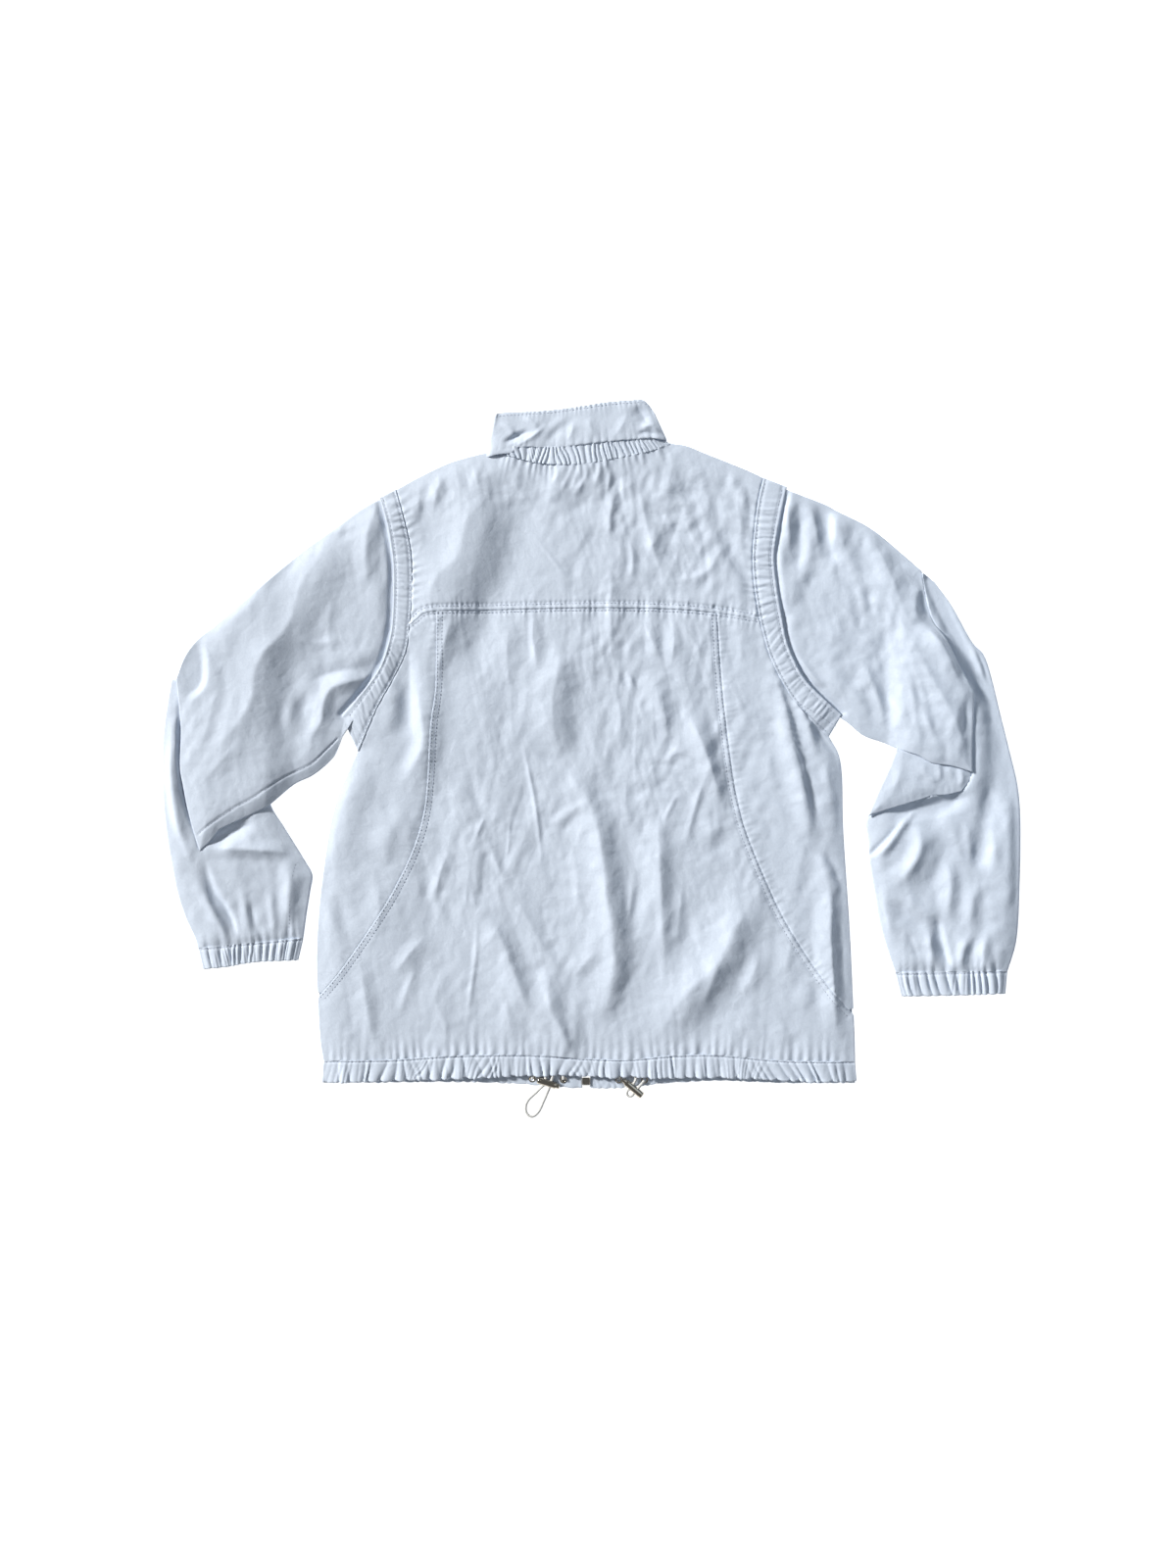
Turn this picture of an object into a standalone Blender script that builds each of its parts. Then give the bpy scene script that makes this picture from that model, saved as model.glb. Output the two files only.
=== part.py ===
"""Light zip jacket, laid flat on its front with its back up.

Every table is in millimetres: x to the garment's own right as seen from behind, y towards the
collar, z up from the table. The zip closes the front, which lies underneath.
"""
from collections import namedtuple
from math import cos, pi, radians, sin

import bmesh
import bpy
from mathutils import Matrix, Vector

MM = 0.001                     # the tables' unit, in metres
GAP = 0.3                      # between neighbouring pieces
CLOTH = 1.2                    # wall of one ply of cloth with its turnings
HOLLOW = 3.8                   # most air between two plies of the flat garment
FRONT_TOP = CLOTH              # the fronts lie flat on the table
EDGE_TOP = 2 * CLOTH + GAP + 0.1   # top of a folded or seamed outer edge
BACK_TOP = 5.8                 # top of the back away from its edges
LOFT_REACH = 26.0              # how far in from an edge the back rises to its full height
ZIP_FOOT = (-5.5, -340.0)      # centre of the zip at the hem
ZIP_HEAD = (-12.0, 286.0)      # and at its top, inside the front collar
ZIP_LIFT = 2.6                 # the zip's upper end rides up on its own slider
HUMP_AT, HUMP_R, HUMP_H = (-12.0, 280.0), 48.0, 2.3   # the back swells over the slider
OPENING = 4.6                  # from the zip's middle to each front's edge
FRONT_IN = 0.5                 # the fronts stop this far inside the back's outline
HEM_TOP, HEM_UNDER = 6.6, 4.9  # the back hem lies over the cord and the front hem
BAND_UPPER = BACK_TOP - CLOTH / 2   # middle surface of an armhole strip's upper and lower layer
BAND_LOWER = CLOTH / 2
END_BACK = 2.7                 # a strip's layers stop this far inside the fold that joins them
PLEAT = 0.6                    # height of a gather above and below its band

# ------------------------------------------------------------------ cut lines, mm (x, y)
SHOULDER = {
    "left": [(-95.5, 296), (-106.5, 296), (-143.5, 286), (-173.5, 272), (-199.5, 258)],
    "right": [(79.5, 305.5), (96.5, 303), (116.5, 295), (156.5, 279), (175.5, 270)],
}
ARMHOLE_UPPER = {              # seam between yoke and armhole strip, top to bottom
    "left": [(-199.5, 258), (-191.5, 229), (-185.5, 202), (-183.5, 179), (-183.5, 149), (-185.5, 121)],
    "right": [(175.5, 270), (170.5, 249), (166.5, 219), (164.5, 189), (166.5, 159), (171.5, 127)],
}
ARMHOLE_LOWER = {              # seam between side panel and armhole strip, top to bottom
    "left": [(-185.5, 121), (-189.5, 94), (-203.5, 64), (-218.5, 37), (-237.5, -7)],
    "right": [(171.5, 127), (180.5, 94), (191.5, 69), (206.5, 44), (221.5, 26), (241, 8)],
}
STRIP_EDGE = {                 # free outer edge of the armhole strip, top to bottom
    "left": [(-215.5, 250), (-207.5, 222), (-202.5, 189), (-201.5, 159), (-203.5, 119),
             (-210.5, 89), (-220.5, 69), (-238.5, 46), (-253.5, 29)],
    "right": [(198.5, 261), (193.5, 239), (188.5, 214), (185.5, 189), (188.5, 159), (193.5, 129),
              (198.5, 104), (206.5, 84), (216.5, 66), (231.5, 50), (254, 30)],
}
SIDE_EDGE = {                  # side of the body from the armhole to the curved seam's foot
    "left": [(-237.5, -7), (-261.5, -67), (-274.5, -144), (-279.5, -209), (-278.5, -259)],
    "right": [(241, 8), (253.5, -21), (256, -90), (262.5, -190), (266.5, -276)],
}
SIDE_FOOT = {                  # side of the body from the curved seam's foot to the hem casing
    "left": [(-278.5, -259), (-276, -300), (-272.5, -323)],
    "right": [(266.5, -276), (267.5, -300), (268, -324)],
}
YOKE_SEAM = [(-185.5, 121), (-178.5, 127), (-163.5, 135), (-103.5, 137), (-3.5, 139),
             (76.5, 138), (126.5, 134), (171.5, 127)]
CURVED_SEAM = {                # from the yoke seam out to the side edge
    "left": [(-157.5, 135.4), (-158.5, 59), (-163.5, 19), (-171.5, -75), (-200.5, -148), (-250, -224),
             (-278.5, -259)],
    "right": [(127.5, 133.9), (132.5, 59), (140.5, -10), (148, -56), (161.5, -102), (197.5, -182),
              (243.5, -251), (266.5, -276)],
}
NECK_SEAM = [(-95.5, 296), (-81.5, 293), (-53.5, 286), (-11.5, 285), (23.5, 291), (58.5, 298), (79.5, 305.5)]
NECKBAND_TOP = [(-93, 300), (-74.5, 303), (-39.5, 302), (-11.5, 304), (16.5, 307.4), (44.5, 310), (72, 311)]
HEM_SEAM = [(-272.5, -323), (-203.5, -322), (-143.5, -318), (-63.5, -317), (-3.5, -321), (36.5, -322),
            (80.5, -318), (126.5, -317), (196.5, -323), (268, -324)]
HEM_EDGE = [(-274, -344), (-203.5, -342), (-123.5, -339), (-43.5, -337), (-3.5, -338), (36.5, -338),
            (76.5, -339.5), (136.5, -339), (196.5, -342), (269.5, -343)]
FRONT_HEM_EDGE = [(-272.5, -345), (-203.5, -344.5), (-123.5, -344), (-60, -347), (-20, -350), (30, -350),
                  (80, -345), (136.5, -343), (196.5, -345), (268.5, -345)]
FRONT_NECK = [(-95.5, 296), (-80, 270), (-52, 251), (-12, 246), (30, 253), (62, 276), (79.5, 305.5)]

# ------------------------------------------------------------------ the back's largest folds
Fold = namedtuple("Fold", "name path half_width height")
BACK_FOLDS = [
    Fold("yoke ridge", [(-133, 285), (-128, 240), (-133, 190), (-160, 165), (-180, 140)], 30, 1.9),
    Fold("yoke trough", [(-100, 285), (-94, 230), (-102, 190), (-120, 160)], 26, -1.3),
    Fold("left edge ridge", [(-183, 120), (-184, 60), (-176, 5), (-190, -40), (-207, -90)], 22, 1.6),
    Fold("left trough", [(-150, 120), (-140, 40), (-128, -30)], 24, -1.2),
    Fold("middle ridge", [(-40, 70), (-38, 20), (-20, -30), (0, -80), (12, -150), (14, -260)], 24, 1.7),
    Fold("middle trough", [(-8, 0), (24, -70), (38, -150), (40, -230), (20, -290)], 20, -1.3),
    Fold("second ridge", [(58, -60), (62, -140), (66, -200), (52, -290)], 18, 1.4),
    Fold("third ridge", [(108, -60), (118, -140), (108, -210), (88, -255)], 26, 1.6),
    Fold("slanting trough", [(166, -130), (148, -190), (116, -240), (88, -285), (74, -318)], 26, -1.6),
    Fold("right side ridge", [(186, 70), (198, 0), (212, -60), (222, -120)], 18, 1.6),
    Fold("lower right ridge", [(218, -150), (214, -220), (190, -290)], 30, 1.5),
    Fold("lower left trough", [(-112, -160), (-86, -200), (-66, -245), (-50, -285)], 18, -1.2),
]

# ------------------------------------------------------------------ sleeves
# Each ring is a line across the flat tube from its upper edge to its lower edge; base is its
# underside and height its thickness in the middle.
Ring = namedtuple("Ring", "line base height")
TUCK = 1.5                     # underside of a sleeve head, which lies on the strip's lower layer
HEAD = 2.7                     # thickness of a sleeve head under the strip
FULL = 5.6                     # thickness of a sleeve away from its ends
ACROSS = 7                     # facets across a flat tube
SIDE_PUSH, SIDE_IN = 0.9, 1.7  # roundness of a tube's outer sides, and its walls there
ARM_OVER = 4.9                 # underside of an upper arm where it lies on its forearm
FOLD_OVER = 7.8                # and where one more fold lies between them
# Rings of a sleeve head, as distances out from the strip's free edge and cut back at its ends.
HeadRing = namedtuple("HeadRing", "beside cut_top cut_foot")
HEAD_RINGS = [HeadRing(-9.0, 6.0, 22.0), HeadRing(2.2, 3.0, 0.0)]
UPPER_ARM = {
    "left": [
        Ring([(-229, 240.5), (-215, 190), (-213, 150), (-220, 95), (-240, 57), (-258, 38), (-261.5, 12)],
             0.0, 4.6),
        Ring([(-246, 230), (-229, 122), (-262, -5)], 0.0, FULL),
        Ring([(-283.5, 203), (-264, 95), (-280, -26)], 0.0, FULL + 1.0),
        Ring([(-323.5, 171), (-303.5, 67), (-303.5, -41)], 1.5, FULL + 1.0),
        Ring([(-355.5, 143), (-341.5, 39), (-328.5, -63)], ARM_OVER, FULL),
        Ring([(-388.5, 114), (-372, 17), (-353.5, -76)], ARM_OVER, FULL),
        Ring([(-413.5, 89), (-401.5, -5), (-376.5, -86)], ARM_OVER, FULL),
        Ring([(-422.5, 66), (-417.5, -21), (-396.5, -105)], ARM_OVER, 4.2),
    ],
    "right": [
        Ring([(213, 252.5), (199, 205), (197, 170), (204, 125), (220, 82), (240, 57), (262, 24)], 0.0, 4.6),
        Ring([(236.5, 243), (227, 135), (268, 15)], 0.0, FULL),
        Ring([(271.5, 225.5), (268, 115), (286, 6)], 0.0, FULL + 1.0),
        Ring([(306.5, 202), (312, 98), (314, -5)], 2.5, FULL + 1.0),
        Ring([(336.5, 176), (347, 75), (345, -18)], FOLD_OVER, FULL),
        Ring([(351, 122), (386, 50), (386.5, -28)], FOLD_OVER, 4.2),
    ],
}
FOREARM = {
    "left": [
        Ring([(-424, 62), (-398, 60), (-373.5, 47)], 0.0, FULL),
        Ring([(-433.5, 29), (-390, 20), (-346, -1)], 0.0, FULL),
        Ring([(-436.5, -11), (-384, -20), (-331, -39)], 0.0, FULL),
        Ring([(-435.5, -56), (-382, -60), (-326.5, -68)], 0.0, FULL),
        Ring([(-432.5, -91), (-372, -91), (-311.5, -92)], 0.0, FULL),
        Ring([(-427.5, -121), (-363, -118), (-298.5, -113)], 0.0, FULL + 0.6),
        Ring([(-422.5, -146), (-354, -142), (-285.8, -133)], 0.0, FULL + 0.6),
        Ring([(-415.5, -171), (-352, -166), (-289.5, -156)], 0.0, FULL + 0.3),
        Ring([(-408.5, -189), (-350, -186), (-292.5, -179)], 0.0, FULL),
        Ring([(-400.6, -207.6), (-347.1, -202.6), (-294.6, -197.6)], 0.0, 5.0),
    ],
    "right": [
        Ring([(318, 171), (336, 172.5), (349.5, 165)], 0.0, 4.6),
        Ring([(320, 134), (347, 141), (369, 135)], 0.0, FULL),
        Ring([(322, 88), (362, 98), (399.5, 90)], 0.0, FULL),
        Ring([(320, 52), (366, 56), (411, 50)], 0.0, FULL),
        Ring([(313, -1), (368, 2), (424.5, -1)], 0.0, FULL),
        Ring([(292.5, -53), (362, -50), (434, -46)], 0.0, FULL),
        Ring([(281.5, -81), (359, -79), (436, -76)], 0.0, FULL),
        Ring([(284.5, -121), (360, -119), (436, -113)], 0.0, FULL + 0.6),
        Ring([(289.5, -151), (362, -151), (435.5, -146)], 0.0, FULL + 0.6),
        Ring([(294.5, -181), (364, -184), (433.5, -181)], 0.0, FULL + 0.3),
        Ring([(301.5, -206), (366, -211), (429.5, -207)], 0.0, FULL),
        Ring([(310.5, -232.6), (367, -231.6), (423.5, -229.1)], 0.0, 5.0),
    ],
}
# The right elbow has one more fold of its tube, between the upper arm and the forearm.
ELBOW_FOLD = [
    Ring([(315, 12), (344, 16), (376, 0)], ARM_OVER, 3.4),
    Ring([(302, -30), (341, -20), (383, -22)], ARM_OVER, 3.4),
    Ring([(290.5, -56), (337, -42), (384.5, -36)], ARM_OVER, 3.4),
    Ring([(284.5, -71.5), (337, -56), (376, -47)], ARM_OVER, 2.9),
]
SLEEVE_FOLDS = {
    "left": [
        Fold("upper arm ridge",
             [(-263, 216), (-293, 159), (-323, 119), (-341, 89), (-353, 19), (-403, -36)], 26, 1.6),
        Fold("underarm ridge", [(-236, 62), (-262, 52), (-276, 24), (-283, 4)], 16, 1.0),
        Fold("forearm crest", [(-395, -114), (-363, -112), (-333, -113), (-303, -116)], 14, 1.2),
        Fold("forearm crease", [(-392, -130), (-382, -160), (-363, -190)], 12, -1.0),
    ],
    "right": [
        Fold("upper arm ridge", [(236, 214), (262, 150), (280, 90), (290, 30)], 28, 1.6),
        Fold("forearm crest", [(322, -92), (328, -110), (316, -134)], 14, 1.2),
        Fold("forearm hollow", [(300, -150), (330, -150)], 16, -1.0),
        Fold("forearm fold", [(352, -168), (358, -200)], 12, 1.0),
    ],
}
CUFF = {                       # seam with the sleeve, and free edge, each from left to right
    "left": ([(-400.5, -208), (-347, -203), (-294.5, -198)],
             [(-395.5, -229), (-373.5, -227), (-343.5, -222), (-299.5, -220)]),
    "right": ([(310.5, -233), (367, -232), (423.5, -229.5)],
              [(316.5, -257), (367, -256), (421.5, -254)]),
}
# ------------------------------------------------------------------ collar
# Stations round the folded collar from the zip's left side, under the back, to its right side:
# the collar's lower and upper edge, the wall's middle height, and how far the upper edge is higher.
Station = namedtuple("Station", "lower upper z rise")
COLLAR = [
    Station((-16.6, 248), (-17.1, 291), 0.9, 2.1),
    Station((-34, 251.5), (-32, 292), 0.7, 1.0),
    Station((-54, 257), (-50, 298), 0.6, 0.0),
    Station((-80, 277), (-74, 314), 0.6, 0.0),
    Station((-97, 300), (-91, 330), 0.6, 0.0),
    Station((-105, 299.5), (-97.3, 333), 1.0, 0.0),
    Station((-107, 299.5), (-98.8, 334.5), 2.2, 0.0),
    Station((-105.4, 300.2), (-97, 336), 3.6, 0.0),
    Station((-98, 303), (-88, 337.5), 4.6, 0.0),
    Station((-83, 304.6), (-72, 338), 5.0, 0.0),
    Station((-62, 304.8), (-52, 339), 5.4, 0.4),
    Station((-40, 304.2), (-32, 341), 5.0, -0.2),
    Station((-12, 306.4), (-8, 344.4), 6.0, 0.0),
    Station((16, 309.8), (16, 348), 5.2, -0.4),
    Station((44, 312.2), (40, 350), 5.4, 0.2),
    Station((62, 313.2), (54, 349.4), 4.8, 0.0),
    Station((74.4, 310.8), (64, 337), 3.6, 0.0),
    Station((76.6, 309.5), (66.5, 331), 2.2, 0.0),
    Station((75, 308.5), (66, 329), 1.0, 0.0),
    Station((69, 306), (61, 326), 0.6, 0.0),
    Station((55, 281), (44, 314), 0.6, 0.0),
    Station((26, 259), (20, 298), 0.7, 0.5),
    Station((8, 254), (6, 293), 0.8, 1.6),
    Station((-7.2, 251), (-7.7, 291), 0.9, 2.1),
]
# ------------------------------------------------------------------ hardware
EYELETS = {"eyelet_1": (-60.4, -341.8), "eyelet_2": (-28.7, -342.6), "eyelet_3": (27.8, -342.8),
           "eyelet_4": (54.2, -342.8)}
EYELET_R, EYELET_HOLE_R, EYELET_H = 3.6, 1.9, 0.5
Lock = namedtuple("Lock", "centre turn length")
LOCKS = {"left": Lock((-44.8, -345.6), -17.0, 21.0), "right": Lock((42.8, -351.4), -40.0, 23.0)}
BARREL_R, BORE_R, PLUNGER_R = 3.6, 2.9, 2.6
LOCK_Z = FRONT_TOP + GAP + BARREL_R
CORD_R = 1.5
STRAND = 3.2                   # each strand's distance from the middle of the cross hole
HOLE_LENGTH = 2 * STRAND + 2 * CORD_R + 0.8
HOLE_HEIGHT = 2 * CORD_R + 0.6
PRESS = 2.5                    # the plunger's travel
CAP = 1.2                      # closed end of a barrel, and the plunger's button
# Each cord's stretches outside its lock, x, y, z: from its first eyelet to the lock, the loop
# beyond it, and back from the lock to its second eyelet.
CORD_IN = {
    "left": [(-60.3, -341.5, 3.8), (-59.7, -339.2, 3.6), (-58.0, -336.2, 3.1), (-55.0, -333.6, 3.1),
             (-51.2, -333.2, 3.1), (-48.1, -335.0, 3.1), (-46.9, -338.0, 3.5)],
    "right": [(27.9, -342.5, 3.8), (28.4, -340.0, 3.6), (30.4, -336.2, 3.1), (34.6, -333.8, 3.1),
              (39.6, -334.2, 3.1), (43.6, -336.9, 3.1), (45.3, -340.4, 3.7), (44.6, -343.8, 4.6)],
}
CORD_LOOP = {
    "left": [(-52.0, -351.0, 4.1), (-55.7, -354.8, 3.0), (-59.6, -358.3, 2.1), (-63.4, -362.0, 1.7),
             (-66.6, -367.2, 1.6), (-67.2, -373.4, 1.6), (-64.9, -378.4, 1.6), (-60.6, -380.0, 1.6),
             (-55.8, -377.3, 1.6), (-52.1, -372.0, 1.6), (-49.3, -365.4, 1.7), (-46.4, -359.0, 2.1),
             (-44.2, -353.6, 3.6)],
    "right": [(36.2, -354.7, 4.3), (36.4, -357.8, 3.7), (39.0, -359.4, 3.6), (41.6, -358.2, 4.2)],
}
CORD_OUT = {
    "left": [(-40.0, -340.4, 4.0), (-38.9, -337.4, 3.2), (-36.0, -334.4, 3.1), (-32.2, -334.2, 3.1),
             (-29.6, -336.8, 3.2), (-28.7, -340.0, 3.7), (-28.7, -342.2, 3.8)],
    "right": [(49.9, -348.0, 4.7), (52.3, -345.2, 4.1), (53.9, -343.2, 3.8)],
}
CORD_POINTS = {"left": 46, "right": 30}
SLIDER_Y = 279.0               # middle of the slider, near the top of the closed zip
SLIDER_L, SLIDER_W, PLATE = 12.0, 8.0, 0.7
CHAIN_W, CHAIN_T, TAPE_W, TAPE_T = 4.6, 1.6, 11.0, 0.8
CHAIN_Z = 1.9                  # the chain's middle along the flat front
PIN_R, KNUCKLE_R, KNUCKLE_GAP = 0.6, 1.25, 0.15
PULL_L, PULL_W, PULL_T = 18.0, 6.0, 1.2

# ------------------------------------------------------------------ materials
PALETTE = {
    "shell_cloth": ((0.50, 0.57, 0.66, 1), 0.62, 0.0),
    "zip_tape": ((0.46, 0.53, 0.62, 1), 0.80, 0.0),
    "zip_metal": ((0.72, 0.72, 0.70, 1), 0.28, 1.0),
    "lock_metal": ((0.62, 0.61, 0.58, 1), 0.18, 1.0),
    "elastic_cord": ((0.86, 0.86, 0.85, 1), 0.75, 0.0),
}


# ------------------------------------------------------------------ lines
def smooth(points, count):
    """That many evenly spaced points along a smooth curve through the given ones."""
    spots = [Vector(point) for point in points]
    spots = [2 * spots[0] - spots[1]] + spots + [2 * spots[-1] - spots[-2]]
    dense = []
    for before, start, end, after in zip(spots, spots[1:], spots[2:], spots[3:]):
        for step in range(12):
            t = step / 12
            dense.append(0.5 * (2 * start + (end - before) * t
                                + (2 * before - 5 * start + 4 * end - after) * t ** 2
                                + (3 * start - before - 3 * end + after) * t ** 3))
    dense.append(spots[-2])
    return even(dense, count)


def even(points, count):
    """That many evenly spaced points along straight pieces between the given ones."""
    spots = [Vector(point) for point in points]
    reach = [0.0]
    for start, end in zip(spots, spots[1:]):
        reach.append(reach[-1] + (end - start).length)
    line = []
    index = 0
    for step in range(count):
        goal = reach[-1] * step / (count - 1)
        while index < len(spots) - 2 and reach[index + 1] < goal:
            index += 1
        share = (goal - reach[index]) / max(reach[index + 1] - reach[index], 1e-9)
        line.append(spots[index].lerp(spots[index + 1], min(share, 1.0)))
    return line


def cut_back(points, at_start, at_end):
    """A line shortened by these lengths at its two ends."""
    spots = [Vector(point) for point in points]
    for length in (at_end, at_start):
        spots.reverse()
        while length > 0:
            first = (spots[1] - spots[0]).length
            if first > length:
                spots[0] = spots[0].lerp(spots[1], length / first)
                break
            spots.pop(0)
            length -= first
    return spots


def beside(points, distance):
    """A line moved sideways, to its left for a positive distance."""
    moved = []
    for index, point in enumerate(points):
        before = points[max(index - 1, 0)]
        after = points[min(index + 1, len(points) - 1)]
        run = (Vector(after) - Vector(before)).normalized()
        moved.append(Vector(point) + Vector((-run.y, run.x)) * distance)
    return moved


def inset(outline, distance):
    """A closed anticlockwise outline, moved inwards."""
    moved = []
    count = len(outline)
    for index, point in enumerate(outline):
        arriving = (point - outline[index - 1]).normalized()
        leaving = (outline[(index + 1) % count] - point).normalized()
        sides = Vector((-arriving.y - leaving.y, arriving.x + leaving.x))
        spread = max(1 + arriving.dot(leaving), 0.6)
        moved.append(point + sides * distance / spread)
    return moved


def smoothstep(share):
    share = min(max(share, 0.0), 1.0)
    return share * share * (3 - 2 * share)


def distance_to(point, path):
    """Distance from a point to a path, and how far along the path its foot lies, 0 to 1."""
    best, along = 1e9, 0.0
    for index, (start, end) in enumerate(zip(path, path[1:])):
        start, end = Vector(start), Vector(end)
        run = end - start
        share = min(max((point - start).dot(run) / run.length_squared, 0.0), 1.0)
        gap = (point - start - run * share).length
        if gap < best:
            best, along = gap, (index + share) / (len(path) - 1)
    return best, along


def fold_height(point, folds):
    """Sum of the folds at a point: round across, fading out at both ends."""
    total = 0.0
    for fold in folds:
        gap, along = distance_to(point, fold.path)
        if gap < fold.half_width:
            ends = smoothstep(along / 0.2) * smoothstep((1 - along) / 0.2)
            total += fold.height * ends * cos(pi / 2 * gap / fold.half_width) ** 2
    return total


# ------------------------------------------------------------------ meshes
def finish_object(name, mesh, material, smooth_angle=None):
    """A bmesh in millimetres becomes a named object in metres."""
    bmesh.ops.transform(mesh, matrix=Matrix.Scale(MM, 4), verts=mesh.verts)
    bmesh.ops.recalc_face_normals(mesh, faces=mesh.faces)
    data = bpy.data.meshes.new(name)
    mesh.to_mesh(data)
    mesh.free()
    data.materials.append(MATERIALS[material])
    if smooth_angle:
        data.shade_smooth()
        data.set_sharp_from_angle(angle=radians(smooth_angle))
    piece = bpy.data.objects.new(name, data)
    GARMENT.objects.link(piece)
    return piece


def coons(top, right, bottom, left):
    """Rows of points inside four edge lines; top and bottom run right, left and right run down."""
    rows = []
    for row in range(len(left)):
        v = row / (len(left) - 1)
        line = []
        for column in range(len(top)):
            u = column / (len(top) - 1)
            corners = (top[0] * (1 - u) * (1 - v) + top[-1] * u * (1 - v)
                       + bottom[0] * (1 - u) * v + bottom[-1] * u * v)
            line.append(top[column] * (1 - v) + bottom[column] * v
                        + left[row] * (1 - u) + right[row] * u - corners)
        rows.append(line)
    return rows


def panel(name, top, right, bottom, left, top_z, under_z, material="shell_cloth"):
    """A wall of cloth inside four edge lines, half a gap in from each."""
    loop = left + bottom[1:] + right[::-1][1:] + top[::-1][1:-1]
    loop = inset(loop, GAP / 2)
    a, b, c = len(left), len(left) + len(bottom) - 1, len(left) + len(bottom) + len(right) - 2
    left, bottom = loop[:a], loop[a - 1:b]
    right, top = loop[b - 1:c][::-1], (loop[c - 1:] + loop[:1])[::-1]
    rows = coons(top, right, bottom, left)
    mesh = bmesh.new()
    bmesh.ops.create_grid(mesh, x_segments=len(top) - 1, y_segments=len(left) - 1, size=1)
    mesh.verts.ensure_lookup_table()
    for index, vert in enumerate(mesh.verts):
        row, column = divmod(index, len(top))
        point = rows[row][column]
        vert.co = (point.x, point.y, top_z(point))
    lower = bmesh.ops.extrude_face_region(mesh, geom=mesh.faces[:], use_keep_orig=True)["geom"]
    for vert in lower:
        if isinstance(vert, bmesh.types.BMVert):
            vert.co.z = under_z(Vector((vert.co.x, vert.co.y)))
    return finish_object(name, mesh, material)


def flat_piece(name, outline, low, high, material):
    """A flat outline as a filled curve between two heights."""
    curve = bpy.data.curves.new(name, "CURVE")
    curve.dimensions = "2D"
    curve.fill_mode = "BOTH"
    curve.extrude = (high - low) / 2 * MM
    spline = curve.splines.new("POLY")
    spline.points.add(len(outline) - 1)
    for knot, (x, y) in zip(spline.points, outline):
        knot.co = (x * MM, y * MM, 0, 1)
    spline.use_cyclic_u = True
    curve.materials.append(MATERIALS[material])
    piece = bpy.data.objects.new(name, curve)
    piece.location.z = (low + high) / 2 * MM
    GARMENT.objects.link(piece)
    return piece


def sweep(name, pairs, wall, closed, rows=1, material="shell_cloth"):
    """A band of cloth along pairs of edge points (lower, upper), given as its middle surface."""
    count = len(pairs)
    mesh = bmesh.new()
    rings = []
    for index, (lower, upper) in enumerate(pairs):
        if closed:
            before, after = pairs[index - 1], pairs[(index + 1) % count]
        else:
            before, after = pairs[max(index - 1, 0)], pairs[min(index + 1, count - 1)]
        ring = []
        for side in (1, -1):
            for row in range(rows + 1) if side == 1 else range(rows, -1, -1):
                share = row / rows
                run = after[0].lerp(after[1], share) - before[0].lerp(before[1], share)
                across = (upper - lower).normalized()
                out = run.cross(across).normalized()
                ring.append(mesh.verts.new(lower.lerp(upper, share) + out * side * wall / 2))
        rings.append(ring)
    size = len(rings[0])
    for index in range(count if closed else count - 1):
        ring, following = rings[index], rings[(index + 1) % count]
        for corner in range(size):
            mesh.faces.new((ring[corner], ring[(corner + 1) % size],
                            following[(corner + 1) % size], following[corner]))
    if not closed:
        for ring in (rings[0], rings[-1]):
            for row in range(rows):
                mesh.faces.new((ring[row], ring[row + 1], ring[size - 2 - row], ring[size - 1 - row]))
    return finish_object(name, mesh, material)


def turn(start, end, outward, steps=3):
    """Pairs that carry a band round a half circle from one layer to the other."""
    pairs = []
    for step in range(1, steps + 1):
        angle = pi * step / (steps + 1)
        pair = []
        for above, below in zip(start, end):
            middle = (above + below) / 2
            reach = (above - below).length / 2
            pair.append(middle + (above - below) / 2 * cos(angle) + outward * reach * sin(angle))
        pairs.append(tuple(pair))
    return pairs


def tube_loops(ring, folds):
    """The outer and inner outline of one ring of a flat tube."""
    line = smooth(ring.line, ACROSS + 1)
    across = [(line[1] - line[0]).normalized(), (line[-1] - line[-2]).normalized()]
    edge = min(HEAD, ring.height)
    tops = []
    for index, point in enumerate(line):
        share = index / ACROSS
        rise = (ring.height - edge) * (1 - abs(2 * share - 1) ** 3)
        bump = fold_height(point, folds) * (1 - abs(2 * share - 1) ** 4) if rise > 1 else 0.0
        tops.append((edge + rise, bump))
    outer = [Vector((*p, ring.base + rise + bump)) for p, (rise, bump) in zip(line, tops)]
    middle = ring.base + edge / 2
    outer += [Vector((*(line[-1] + across[1] * SIDE_PUSH), middle))]
    outer += [Vector((*p, ring.base)) for p in reversed(line)]
    outer += [Vector((*(line[0] - across[0] * SIDE_PUSH), middle))]
    inside = list(line)
    inside[0] = line[0] + across[0] * SIDE_IN
    inside[-1] = line[-1] - across[1] * SIDE_IN
    inner = [Vector((*p, ring.base + rise + min(bump, 0.0) - CLOTH))
             for p, (rise, bump) in zip(inside, tops)]
    inner += [Vector((*(inside[-1] + across[1] * 0.2), middle))]
    inner += [Vector((*p, ring.base + CLOTH)) for p in reversed(inside)]
    inner += [Vector((*(inside[0] - across[0] * 0.2), middle))]
    return outer, inner


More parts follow.
